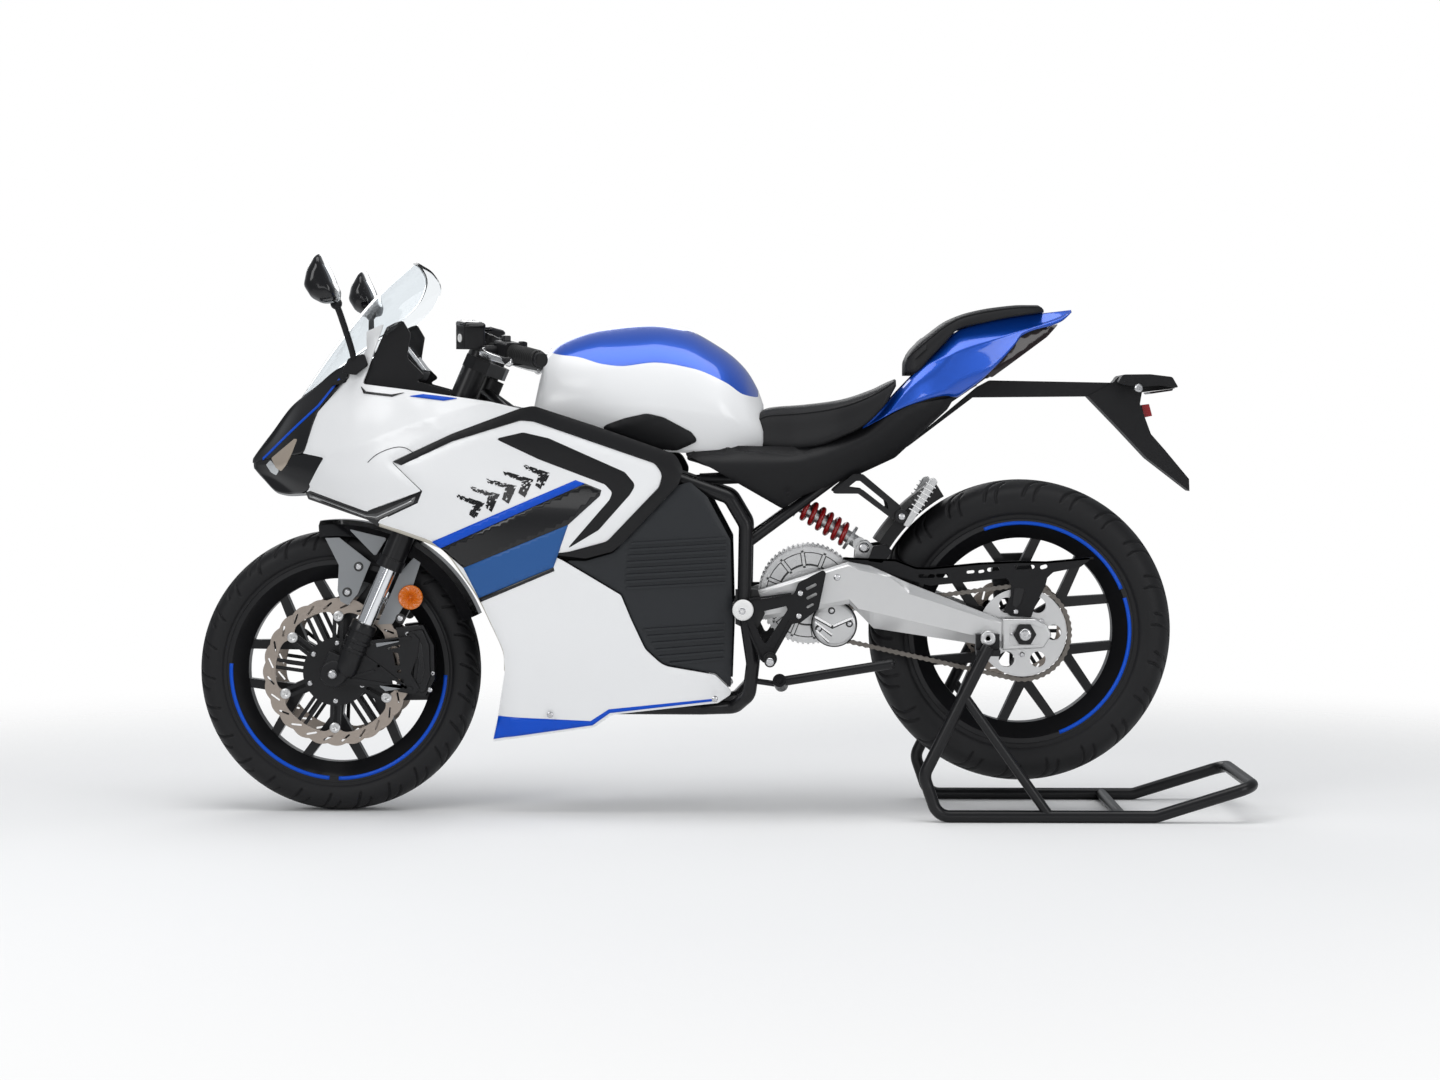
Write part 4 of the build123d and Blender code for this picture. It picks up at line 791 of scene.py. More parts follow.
DECALS = (
    # columns: name, material, lift, outline
    ("stripe_long", "decal_blue", 0.8, ((-586, 567), (-291, 693), (-272, 686), (-568, 554))),
    ("stripe_dark", "gloss_black", 0.65, (
        (-568.5, 554.5), (-272.5, 686.5), (-239, 673), (-242, 661), (-306, 603), (-522, 514))),
    ("stripe_steel", "steel_blue", 0.5, ((-522, 514.5), (-306, 603.5), (-337, 516), (-491, 452))),
    ("stripe_line", "gloss_black", 0.65, ((-491, 452.5), (-337, 516.5), (-335, 509), (-488, 444))),
    ("stripe_low", "decal_blue", 0.5, (
        (-459, 206), (-470, 157), (-264, 188), (-228, 214), (-9, 240), (-9, 245), (-230, 222), (-268, 197))),
    ("mark_dark", "gloss_black", 2.7, (
        (-735, 884), (-722, 872), (-668, 866), (-635, 871), (-668, 861), (-728, 868))),
    ("mark_blue", "decal_blue", 2.7, ((-634, 862), (-602, 866), (-529, 857), (-560, 852))),
)
for name, mat, lift, outline in DECALS:
    surface = cowl if name.startswith("mark") else fairing
    panel(name, outline, surface, mat, lift=lift, thick=0.2, cell=9, corner=1, **FILM)


# ------------------------------------------------------------------ tank
TANK = (
    # columns: x, floor (half width, height), side, shoulder, top height
    (-386, (95, 782), (103, 812), (84, 838), 850),
    (-374, (105, 775), (116, 840), (86, 890), 912),
    (-358, (112, 770), (128, 852), (90, 936), 959),
    (-326, (120, 768), (138, 858), (98, 950), 985),
    (-247, (128, 760), (150, 862), (108, 962), 1007),
    (-151, (132, 752), (158, 858), (118, 962), 1015),
    (-87, (130, 748), (156, 852), (118, 952), 1007),
    (-7, (120, 745), (146, 838), (104, 922), 968),
    (46, (102, 743), (122, 815), (82, 886), 924),
    (75, (86, 741), (100, 795), (62, 842), 877),
    (86, (78, 740), (88, 785), (52, 822), 846),
)
# curves along x for each (half width, height) of the section: floor, side, shoulder
tank_rows = [through([(row[0], row[c][j]) for row in TANK]) for c in (1, 2, 3) for j in (0, 1)]
tank_top = through([(row[0], row[4]) for row in TANK])
# height of the edge between the white and the blue
BLUE_EDGE = through((
    (-386, 990), (-362, 962), (-340, 950), (-292, 943), (-240, 928), (-203, 924), (-135, 931), (-57, 919),
    (11, 890), (48, 866), (72, 862), (86, 870),
))


def tank_half(x):
    """The tank's section at x from its floor up to the middle of its top."""
    f0, f1, s0, s1, h0, h1 = [row(x) for row in tank_rows]
    left = [(f0, f1), (s0, s1), (h0, h1), (0, tank_top(x)), (-h0, h1)]
    return spline_points(left, 14)[: 14 * 3 + 1]


# points of a half section below the edge of the blue, and as many above it
TANK_POINTS = 18


def tank_section(x):
    """The half section with even points on both sides of the edge of the blue."""
    half = tank_half(x)
    edge = BLUE_EDGE(x)
    cut = next((i for i, p in enumerate(half) if p.y > edge and i > 6), len(half) - 3)
    cut = min(max(cut, 8), len(half) - 3)
    a, b = half[cut - 1], half[cut]
    t = min(max((edge - a.y) / max(b.y - a.y, 1e-6), 0), 1)
    mid = a.lerp(b, t)
    return even(half[:cut] + [mid], TANK_POINTS) + even([mid] + half[cut:], TANK_POINTS)


rows, face_mats = [], []
stations = list(np.linspace(TANK[0][0], TANK[-1][0], 90))
for x in stations:
    half = tank_section(x)
    rows.append([(x, -p.x, p.y) for p in half] + [(x, p.x, p.y) for p in reversed(half[:-1])])
n = len(rows[0])
for pair in zip(stations, stations[1:]):
    blue = min(tank_top(x) - BLUE_EDGE(x) for x in pair) > 1
    for k in range(n - 1):
        from_floor = k if k < 2 * TANK_POINTS else n - 2 - k
        face_mats.append(1 if blue and from_floor >= TANK_POINTS else 0)
points, faces = grid_shape(rows, False, False)
for i in range(len(rows) - 1):
    faces.append([i * n, (i + 1) * n, (i + 2) * n - 1, (i + 1) * n - 1])
for i in (0, len(rows) - 1):
    faces.append([i * n + k for k in range(n)])
face_mats += [0] * (len(faces) - len(face_mats))
tank_shell = new_piece("tank_shell", points, faces, ["white", "blue"], "chassis", face_mats=face_mats)
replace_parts(tank_shell, "tank")


def tank_side(x, z):
    """The tank's half width at (x, z)."""
    half = tank_half(x)
    for a, b in zip(half, half[1:]):
        if a.y <= z <= b.y:
            return a.x + (b.x - a.x) * (z - a.y) / max(b.y - a.y, 1e-6)
    return half[0].x if z < half[0].y else 20.0


KNEE = (
    (-251, 799, 20), (-196, 818, 30), (-150, 828, 40), (-116, 820, 30), (-60, 790, 20), (-46, 772, 14),
    (-90, 752, 30), (-143, 757, 20),
)
panel("knee_pads", KNEE, tank_side, "plastic", lift=9, thick=10, cell=9, gap=0, roll=6, corner=20)


# ------------------------------------------------------------------ side covers and tail
COVER = (
    (-80, 748, 10), (-42, 772, 16), (28, 757, 30), (147, 742, 60), (287, 796, 60), (392, 848, 30),
    (480, 861, 6), (465, 835, 20), (358, 736, 30), (281, 701, 20), (168, 659, 20), (126, 631, 12),
    (-42, 729, 10),
)
TAIL_LOW = through((
    (288, 796), (392, 847), (462, 864), (480, 861), (506, 876), (537, 900), (580, 943), (605, 972),
    (616, 987), (701, 1018), (724, 1038),
))
TAIL_HIGH = through((
    (288, 799), (330, 840), (392, 905), (430, 942), (460, 973), (487, 999), (510, 1007), (591, 1025),
    (724, 1043),
))
TAIL_CREASE = through((
    (288, 797), (340, 846), (400, 906), (429, 930), (514, 961), (613, 996), (700, 1024), (724, 1040)
))
TAIL_RIDGE = through((
    (288, 798), (340, 848), (400, 911), (429, 938), (495, 972), (587, 997), (650, 1012), (700, 1028),
    (724, 1041),
))
TAIL_LAMP = ((616, 986, 4), (701, 1017, 4), (672, 984, 10), (556, 898, 8), (540, 909, 6))
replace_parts(panel("cover_panels", COVER, tail, "plastic", lift=2, roll=3), "side_covers")


def tail_skin(x, z, crease, ridge):
    """The tail's half width: full up to a crease, a narrow step up to the ridge, and leaning in above."""
    w = tail(x, z)
    grow = min(max((x - 330) / 90, 0), 1)
    if z <= crease:
        return w + grow * 4 * math.exp((z - crease) / 22)
    if z <= ridge:
        return w + grow * (4 - 6.5 * (z - crease) / max(ridge - crease, 0.5))
    return w - grow * (2.5 + 9 * (1 - math.exp(-(z - ridge) / 22)))


TAIL_FRONT, TAIL_REAR = 289, 723


def tail_rows(side, inner):
    """Rows of points on the tail's skin, or at a distance inside it."""
    rows = []
    for x in np.linspace(TAIL_FRONT, TAIL_REAR, 150):
        low, high = TAIL_LOW(x), TAIL_HIGH(x)
        crease = min(max(TAIL_CREASE(x), low + 0.5), high - 0.9)
        ridge = min(max(TAIL_RIDGE(x), crease + 0.3), high - 0.5)
        heights = list(np.linspace(low, crease - 0.25 * min(4, crease - low), 12)) + [crease]
        heights += list(np.linspace(crease, ridge, 4))[1:] + list(np.linspace(ridge, high, 9))[1:]
        row = []
        for z in heights:
            rim = min(z - low, high - z, (x - TAIL_FRONT) * 0.6, (TAIL_REAR - x) * 0.6)
            roll = 2.2 * max(0.0, 1 - rim / 5) ** 2
            row.append((x, side * max(tail_skin(x, z, crease, ridge) + 1 - roll - inner, 0.3), z))
        rows.append(row)
    return rows


tail_shells = join([two_skins(tail_rows(side, 0), tail_rows(side, 2.6)) for side in BOTH])
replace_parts(new_piece("tail_panels", *tail_shells, "blue", "chassis"), "tail_cowl")
INNER = (
    (-74, 744, 6), (-40, 764, 10), (28, 762, 30), (147, 760, 60), (280, 806, 30), (330, 838, 30),
    (392, 898, 30), (430, 934, 20), (487, 992, 30), (591, 1016, 60), (690, 1022, 4), (640, 976, 6),
    (556, 905, 8), (480, 850, 10), (465, 840, 20), (358, 742, 30), (281, 707, 20), (168, 665, 20),
    (126, 638, 12), (-38, 728, 10),
)
panel("tail_inner_skin", INNER, tail, "plastic", lift=-7, thick=2, cell=14, **FILM)
HUGGER_FOOT = ((300, 524, 3), (330, 520, 3), (352, 545, 4), (336, 560, 4), (312, 556, 4))
slab("hugger_foot", HUGGER_FOOT, 81, 101, "plastic", corner=4, bevel=1.5, sides=BOTH)
lamp_roof = []
for x in np.linspace(560, 716, 20):
    half = max(tail(x, TAIL_HIGH(x)) - 12, 4)
    lamp_roof.append([(x, y, TAIL_HIGH(x) - 3) for y in np.linspace(-1, 1, 9) * half])
solid(grid_piece("tail_bridge", lamp_roof, "blue", "chassis"), 2.5)
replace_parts(panel("tail_lens", TAIL_LAMP, tail, "smoke", lift=-3, roll=1.5, thick=8, cell=9), "tail_lamp")


# ------------------------------------------------------------------ windscreen
SCREEN = (
    # columns: x, half width, height of the lower edge, height of the middle
    (-893, 10, 838, 843),
    (-870, 40, 856, 872),
    (-847, 60, 874, 907),
    (-796, 88, 912, 980),
    (-719, 114, 964, 1074),
    (-644, 126, 1012, 1144),
    (-590, 128, 1040, 1186),
)
screen_parts = [through([(row[0], row[c]) for row in SCREEN]) for c in (1, 2, 3)]


def screen_point(x, v, grow):
    """A point of the screen at x, from its left edge at v = -1 to its right edge at v = 1."""
    half, edge, top = [part(x) for part in screen_parts]
    a = v * math.pi / 2
    height = edge + (top + grow - edge) * math.cos(a) ** 0.9 if abs(v) < 1 else edge
    return Vector((x, (half + grow) * math.sin(a), height))


# x of the screen's rear edge, from the middle out to its side
SCREEN_REAR = through(((0.0, -646), (0.3, -632), (0.55, -612), (0.75, -600), (0.9, -614), (1.0, -672)))


def screen_rows(grow):
    """Rows of points over the screen, from its left edge to its right edge."""
    front = SCREEN[0][0]
    rows = []
    for k in range(-28, 29):
        v = k / 28
        rear = SCREEN_REAR(abs(v))
        rows.append([screen_point(front + (rear - front) * u / 40, v, grow) for u in range(41)])
    return rows


screen_shell = new_piece("screen_shell", *two_skins(screen_rows(0), screen_rows(-3)), "screen", "chassis")
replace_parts(screen_shell, "windscreen")


# ------------------------------------------------------------------ tyres


def groove_depth(along, across, pitch, grooves):
    """How deep the tread is cut at each point, from curved grooves repeated round the tyre."""
    depth = np.zeros_like(along)
    for width, line in grooves:
        pts = spline_points([(a, b) for a, b in line], 6)
        for shift in (-2, -1, 0, 1, 2):
            for a, b in zip(pts, pts[1:]):
                ax, ay, bx, by = a.x + shift * pitch, a.y, b.x + shift * pitch, b.y
                dx, dy = bx - ax, by - ay
                t = np.clip(((along - ax) * dx + (across - ay) * dy) / (dx * dx + dy * dy), 0, 1)
                dist = np.hypot(along - ax - t * dx, across - ay - t * dy)
                depth = np.maximum(depth, np.clip((width / 2 + 0.9 - dist) / 1.8, 0, 1))
    return depth


BEAD_RADIUS = 232
GROOVE_DEPTH = 4.2
# columns: half width and height above the bead, as shares; the bead's own points come before these
TYRE_SHAPE = (
    (0.925, 0.17), (0.985, 0.31), (1.0, 0.44), (0.978, 0.58), (0.915, 0.70), (0.79, 0.815), (0.59, 0.91),
    (0.32, 0.975), (0.0, 1.0),
)


def tyre(name, axle, half, radius, rim_half, node, body, pitches, grooves, columns):
    """A tyre with cut grooves; the tread repeats a number of pitches round it."""
    height = radius - BEAD_RADIUS
    foot = rim_half / half
    shape = [
        (foot - 0.03, -0.02), (foot + 0.03, 0.015), (foot + 0.045, 0.07), (foot + 0.035, 0.10), *TYRE_SHAPE
    ]
    beyond = [(-0.32 * half, BEAD_RADIUS + 0.975 * height)]
    fine = spline_points([(w * half, BEAD_RADIUS + h * height) for w, h in shape] + beyond, 12)
    side = even(fine[: 12 * (len(shape) - 1) + 1], 52)
    profile = side + [Vector((-p.x, p.y)) for p in reversed(side[:-1])]
    length = [0.0]
    for a, b in zip(side, side[1:]):
        length.append(length[-1] + (b - a).length)
    across = np.array([length[-1] - s for s in length] + [-(length[-1] - s) for s in reversed(length[:-1])])
    pitch = 2 * math.pi * radius / pitches
    per = columns // pitches
    along = np.arange(per) * pitch / per
    grid_s, grid_a = np.meshgrid(along, across, indexing="ij")
    mirrored = [(w, [(s + pitch * 0.5, -a) for s, a in line]) for w, line in grooves]
    depth = groove_depth(grid_s, grid_a, pitch, grooves + mirrored) * GROOVE_DEPTH
    normals = []
    for i, p in enumerate(profile):
        t = (profile[min(i + 1, len(profile) - 1)] - profile[max(i - 1, 0)]).normalized()
        normals.append(Vector((t.y, -t.x)))
    points, faces = [], []
    n = len(profile)
    for c in range(columns):
        a = 2 * math.pi * c / columns
        cos, sin = math.cos(a), math.sin(a)
        for i, p in enumerate(profile):
            outward = 1 if normals[i].dot(Vector((p.x, (p.y - BEAD_RADIUS - 30) * 2))) > 0 else -1
            q = p - normals[i] * outward * depth[c % per, i]
            points.append((axle[0] + q.y * cos, q.x, axle[1] + q.y * sin))
        e = (c + 1) % columns
        for i in range(n):
            j = (i + 1) % n
            faces.append([c * n + i, c * n + j, e * n + j, e * n + i])
    obj = new_piece(name, points, faces, "tyre", body)
    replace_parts(obj, node)
    return obj


# columns: width, then points (along the tread, across from its middle)
FRONT_GROOVES = [
    (5.0, ((0, 4), (22, 12), (46, 26), (66, 44), (76, 58))),
    (4.4, ((28, 26), (40, 44), (50, 64), (54, 74))),
]
REAR_GROOVES = [
    (5.8, ((0, 6), (30, 14), (58, 32), (78, 58), (88, 82))),
    (4.8, ((36, 36), (52, 56), (60, 78), (61, 92))),
]
tyre("tyre_front", FRONT_AXLE, 55, 293, 44, "front_tyre", "front_wheel", 26, FRONT_GROOVES, 26 * 34)
tyre("tyre_rear", REAR_AXLE, 70, 313, 56, "rear_tyre", "rear_wheel", 22, REAR_GROOVES, 22 * 40)


def rim_stripe(name, axle, rim_half, start, end, body):
    """A painted arc on the rim's edge, on both faces; its ends are angles in the photograph."""
    steps = max(8, int((end - start) / 2))
    parts = []
    for side in BOTH:
        edge, slope = rim_half, rim_half * 0.958
        profile = [(edge + 0.35, 227.5), (edge + 0.35, 222), (slope + 0.35, 220), (slope - 0.3, 220),
                   (edge - 0.3, 222), (edge - 0.3, 227.5)]
        rows = []
        for i in range(steps + 1):
            # angles in the photograph run clockwise from the right, so they are negated here
            a = math.radians(-start - (end - start) * i / steps)
            rows.append([
                (axle[0] + r * math.cos(a), side * y, axle[1] + r * math.sin(a)) for y, r in profile
            ])
        parts.append(grid_shape(rows))
    new_piece(name, *join(parts), "decal_blue", body)


# columns: wheel, axle, half width of the rim, arcs
RIM_STRIPES = (
    ("front", FRONT_AXLE, 44, ((2, 90), (95, 184))),
    ("rear", REAR_AXLE, 56, ((250, 337), (342, 429))),
)
for wheel, axle, rim_half, arcs in RIM_STRIPES:
    for number, (a, b) in enumerate(arcs):
        rim_stripe(f"{wheel}_rim_stripe_{number}", axle, rim_half, a, b, f"{wheel}_wheel")


# ------------------------------------------------------------------ nose, lamp and cockpit


def wrap(name, mat, span, low, high, roof=None, floor=None, lift=0.0, count=44):
    """A shell round the nose: both sides between two heights, with a roof or a floor between them."""
    rows = []
    for x in np.linspace(*span, count):
        z0, z1 = low(x), high(x)
        sides = [(max(fairing(x, z) + lift, 0.5), z) for z in np.linspace(z0, z1, 20)]
        if roof is not None:
            w, z = sides[-1]
            half = sides + [(w * t, z + roof * (1 - t * t)) for t in np.linspace(1, 0, 10)[1:]]
        else:
            w, z = sides[0]
            half = sides[::-1] + [(w * t, z - floor * (1 - t * t)) for t in np.linspace(1, 0, 10)[1:]]
        rows.append([(x, -y, z) for y, z in half] + [(x, y, z) for y, z in reversed(half[:-1])])
    return solid(grid_piece(name, rows, mat, "chassis"), 2.5)


# heights of the lower and the upper edge of the nose and of the chin below it, along x
nose_low = through(((-981, 726), (-924, 739), (-863, 746), (-830, 832), (-790, 878), (-760, 908)))
nose_high = through((
    (-981, 731), (-972, 744), (-940, 785), (-893, 843), (-840, 882), (-782, 923), (-760, 930)
))
chin_low = through(((-981, 722), (-960, 698), (-924, 666), (-900, 662), (-862, 664), (-816, 735)))
chin_high = through(((-981, 726), (-924, 739), (-863, 746), (-816, 746)))
nose_shell = wrap("nose_shell", "gloss_black", (-981, -764), nose_low, nose_high, roof=5, lift=0.8)
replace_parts(nose_shell, "nose_cover")
chin_shell = wrap(
    "chin_shell", "gloss_black", (-979, -818), chin_low, chin_high, floor=6, lift=-1.5, count=30
)
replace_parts(chin_shell, "headlight")
NOSE_LINE = ((-955, 731), (-826, 842), (-781, 897), (-784, 900), (-830, 845), (-957, 736))
panel("nose_line", NOSE_LINE, fairing, "decal_blue", lift=1.1, thick=0.6, cell=6, corner=1, **FILM)
LENS_HIGH = (
    (-934, 736, 3), (-880, 776, 3), (-873, 775, 3), (-884, 748, 8), (-899, 722, 8), (-912, 709, 4),
    (-924, 716, 4),
)
LENS_LOW = ((-948, 722, 3), (-937, 732, 3), (-918, 710, 4), (-926, 700, 4), (-938, 706, 4))
panel("lamp_lens_high", LENS_HIGH, fairing, "lens", lift=1.8, thick=2, cell=6, gap=0, roll=1)
panel("lamp_lens_low", LENS_LOW, fairing, "clear", lift=0.8, thick=2, cell=6, gap=0, roll=1)
LED_LINE = (
    (-852, 655, 1), (-724, 614, 3), (-700, 610, 3), (-622, 646, 1), (-616, 660, 2), (-700, 624, 6),
    (-724, 622, 3), (-852, 662, 1),
)
panel("lamp_light_bars", LED_LINE, fairing, "clear_dark", lift=-1.4, thick=1.5, cell=6, corner=2, **FILM)
seam("lamp_light_line", ((-846, 657), (-726, 618), (-702, 616), (-626, 650)), fairing, "bright", 2.2, -0.9)
FENDER_TAB = ((-770, 590, 2), (-691, 571, 4), (-715, 533, 6))
slab("fender_tabs", FENDER_TAB, 74, 77, "grey_paint", "steering", corner=3, bevel=1, sides=BOTH)

COCKPIT_SIDE = (
    (-733, 889, 6), (-708, 950, 30), (-684, 1004, 8), (-664, 1014, 10), (-651, 1018, 6), (-635, 991, 8),
    (-643, 942, 20), (-606, 905, 6), (-625, 894, 6), (-560, 876, 10), (-522, 866, 4), (-600, 868, 20),
)
slab("cockpit_sides", COCKPIT_SIDE, 112, 120, "plastic", corner=4, bevel=2, sides=BOTH)
DASH = ((-714, 938, 6), (-690, 982, 8), (-662, 972, 8), (-618, 914, 5), (-628, 896, 6))
slab("dash_housing", DASH, -78, 78, "plastic", corner=5, bevel=3)
DASH_GLASS = ((-660, 972, 1), (-619, 917, 1), (-617, 919, 1), (-658, 974, 1))
slab("dash_glass", DASH_GLASS, -70, 70, "clear", corner=0.5, bevel=0)
COCKPIT_DECK = (
    (-800, 892, 3), (-740, 908, 20), (-640, 888, 10), (-606, 877, 3), (-606, 869, 3), (-640, 880, 3),
    (-740, 898, 3), (-800, 884, 3),
)
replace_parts(slab("cockpit_deck", COCKPIT_DECK, -112, 112, "plastic", corner=2, bevel=1), "cockpit_panel")


# ------------------------------------------------------------------ mirrors
MIRROR = (
    (-788, 1146, 8), (-772, 1108, 60), (-753, 1066, 10), (-755, 1047, 8), (-784, 1043, 24), (-806, 1054, 14),
    (-821, 1078, 14), (-814, 1112, 30), (-798, 1140, 8),
)
mirror_size = through((
    (222, 0.34), (228, 0.62), (244, 0.86), (270, 0.97), (300, 1.0), (326, 0.95), (342, 0.82), (350, 0.6),
    (352, 0.4),
))
mirror_loop = even(rounded(MIRROR, 8) + rounded(MIRROR, 8)[:1], 49)[:-1]
# the point that the mirror's sections shrink towards, and the distances of the sections across the bike
MIRROR_X, MIRROR_Z = -787, 1092
MIRROR_STATIONS = (222, 224, 228, 234, 242, 252, 266, 282, 300, 316, 328, 337, 344, 349, 352)


def mirror_point(side, across, x, z, share=1.0):
    """A point of the mirror's side view, placed in its section at a distance across the bike."""
    size = mirror_size(across) * share
    return Vector((MIRROR_X + (x - MIRROR_X) * size, side * across, MIRROR_Z + (z - MIRROR_Z) * size))


heads, glasses = [], []
for side in BOTH:
    heads.append(
        grid_shape([[mirror_point(side, y, q.x, q.y) for q in mirror_loop] for y in MIRROR_STATIONS])
    )
    rows = []
    for across in (238, 250, 270, 290, 310, 330, 340):
        row = []
        for t in np.linspace(0, 1, 9):
            x, z = -786 + 31 * t + 2.5 * math.sin(math.pi * t), 1137 - 72 * t
            row.append(mirror_point(side, across, x, z, 0.93) + Vector((1.2, 0, 0)))
        rows.append(row)
    glasses.append(grid_shape(rows, False, False))
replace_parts(new_piece("mirror_heads", *join(heads), "gloss_black", "chassis"), "mirrors")
solid(new_piece("mirror_glass", *join(glasses), "mirror", "chassis"), 1.0, 0)
for side, word in WORDS:
    stem = (
        (-748, side * 128, 926), (-752, side * 150, 960), (-764, side * 210, 1024), (-770, side * 236, 1048)
    )
    tube(f"mirror_stem_{word}", stem, 6.5, "plastic", "chassis")
    neck = ((-770, side * 236, 1048), (-784, side * 262, 1078))
    tube(f"mirror_neck_{word}", neck, 7.5, "plastic", "chassis")


def ball(name, place, radius, mat, body):
    """A round knob."""
    rows = []
    for a in np.linspace(0.02, math.pi - 0.02, 13):
        r, h = radius * math.sin(a), radius * math.cos(a)
        rows.append([
            (place[0] + r * math.cos(t), place[1] + r * math.sin(t), place[2] + h) for t in ring_angles(20)
        ])
    return lofted(name, rows, mat, body)


MIRROR_FOOT = ((-775, 910, 6), (-760, 940, 6), (-728, 950, 6), (-720, 926, 6), (-745, 906, 6))
for side, word in WORDS:
    ball(f"mirror_joint_{word}", (-769, side * 235, 1047), 12, "plastic", "chassis")
    slab(f"mirror_foot_{word}", MIRROR_FOOT, side * 126, side * 140, "plastic", corner=6, bevel=3)


# ------------------------------------------------------------------ battery cover ribs
rib_left = through((
    (310, -108), (330, -140), (350, -150), (390, -172), (410, -178), (455, -193), (465, -200), (480, -206),
    (560, -196), (580, -176),
))
RIB_HEIGHTS = (316, 330, 344, 358, 372, 386, 472, 485, 498, 511, 524, 537, 550, 563)
for number, z in enumerate(RIB_HEIGHTS):
    x0, x1 = rib_left(z) + 14, 14 - 0.03 * (560 - z)
    rib = ((x0, z - 2), (x1, z + 9), (x1, z + 14), (x0, z + 3))
    panel(f"battery_rib_{number}", rib, fairing, "grey", lift=-1.2, thick=4, cell=10,
          gap=0, roll=0.6, corner=2, bevel=0.6)


# ------------------------------------------------------------------ fairing arrows and edge lip
ARROWS = (
    # columns: upper end, apex, lower end
    ((-533, 665), (-475, 647), (-494, 614)), ((-504, 681), (-444, 664), (-461, 629)),
    ((-471, 696), (-409, 681), (-426, 645)), ((-437, 712), (-375, 694), (-393, 658)),
    ((-396, 725), (-342, 707), (-359, 673)),
)
flecks = []
for start, apex, end in ARROWS:
    start, apex, end = Vector(start), Vector(apex), Vector(end)
    start_in, apex_in, end_in = start + Vector((3, -9)), apex + Vector((-23, -4)), end + Vector((-13, 9))
    arms = ((start, apex, start_in, apex_in, 15, True), (apex, end, apex_in, end_in, 8, False))
    for a, b, c, d, columns, ragged in arms:
        for i in range(columns):
            for j in range(5):
                loss = (0.26 if j in (0, 4) else 0.10) + (0.22 if ragged and i < 6 else 0)
                if random.random() < loss:
                    continue
                u0 = j / 5 + random.uniform(-0.03, 0.03)
                u1 = (j + 1) / 5 + random.uniform(-0.01, 0.05)
                t0 = i / columns + random.uniform(-0.012, 0.006)
                t1 = (i + 1) / columns + random.uniform(-0.006, 0.014)
                corners = ((t0, u0), (t1, u0), (t1, u1), (t0, u1))
                flecks.append([a.lerp(b, t).lerp(c.lerp(d, t), u) for t, u in corners])
points, faces = [], []
for side in BOTH:
    for fleck in flecks:
        base = len(points)
        for rise in (0.55, 0.1):
            points += [(q.x, side * (fairing(q.x, q.y) + rise), q.y) for q in fleck]
        faces += [[base, base + 1, base + 2, base + 3], [base + 7, base + 6, base + 5, base + 4]]
        faces += [[base + i, base + 4 + i, base + 4 + (i + 1) % 4, base + (i + 1) % 4] for i in range(4)]
new_piece("fairing_arrows", points, faces, "gloss_black", "chassis", smooth=False)
LIP = ((-697, 600), (-648, 585), (-585, 563), (-556, 546), (-524, 502), (-490, 450), (-466, 400), (-442, 343),
       (-440, 301))
seam("fairing_lip", spline_points(LIP, 6), fairing, "cream", 7, -2.2)


# ------------------------------------------------------------------ seats


def cushion(name, node, top, low, half, span, crown):
    """A padded seat: rolled top edges, sides that pull in below them and a flat foot."""
    rows, seams = [], ([], [])
    for x in np.linspace(*span, 60):
        w, zt, zl = half(x), top(x), low(x)
        h = max(zt - zl, 2.0)
        section = [
            (0, zl), (w * 0.6, zl), (w * 0.95, zl + h * 0.02), (w, zl + h * 0.14), (w * 0.975, zl + h * 0.42),
            (w * 0.955, zt - h * 0.26), (w * 0.90, zt - h * 0.10), (w * 0.74, zt),
            (w * 0.4, zt + crown * 0.75), (0, zt + crown),
        ]
        curve = even(spline_points(section, 8), 34)
        rows.append([(x, -q.x, q.y) for q in curve] + [(x, q.x, q.y) for q in reversed(curve[1:-1])])
        for k, side in enumerate(BOTH):
            seams[k].append((x, side * (w * 0.935 + 0.6), zt - h * 0.17))
    obj = lofted(name, rows, "vinyl", "chassis")
    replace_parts(obj, node)
    for line, (side, word) in zip(seams, WORDS):
        tube(f"{name}_piping_{word}", line[1:-1:3], 1.7, "vinyl", "chassis", ring=8)


seat_top = through((
    (29, 772), (42, 796), (59, 814), (98, 838), (168, 844), (238, 853), (309, 875), (345, 892), (358, 897)
))
seat_low = through((
    (29, 766), (80, 757), (126, 750), (189, 757), (250, 780), (287, 799), (337, 848), (358, 884)
))
seat_half = through(((28, 74), (60, 80), (98, 92), (168, 122), (250, 141), (330, 137), (358, 121)))
cushion("rider_seat", "seat", seat_top, seat_low, seat_half, (30, 357), 3)
pillion_top = through((
    (376, 934), (384, 951), (398, 967), (425, 989), (465, 1017), (511, 1034), (564, 1044), (620, 1049),
    (652, 1049), (664, 1042),
))
pillion_low = through((
    (376, 908), (394, 908), (430, 942), (460, 974), (487, 1001), (540, 1014), (591, 1025), (664, 1036)
))
pillion_half = through(((376, 80), (400, 92), (440, 94), (500, 94), (600, 84), (650, 66), (664, 50)))
cushion("pillion_pad", "pillion_seat", pillion_top, pillion_low, pillion_half, (377, 663), 4)
strap = []
for x, rise in ((396, 0.3), (404, 2.6), (412, 2.6), (420, 0.3)):
    w, zt, zl = pillion_half(x), pillion_top(x), pillion_low(x)
    row = []
    for a in np.linspace(-1.45, 1.45, 41):
        row.append((x, w * math.sin(a) * 1.005, zl + (zt + 2.6 + rise - zl) * max(math.cos(a), 0) ** 0.32))
    strap.append(row)
grid_piece("pillion_strap", strap, "vinyl", "chassis")


# ------------------------------------------------------------------ chain
# the motor's sprocket, the pitch radii of both sprockets and the chain's middle plane
DRIVE_AXLE = (232, 396)
SMALL_PITCH, LARGE_PITCH = 29, 97
CHAIN_PLANE = -86


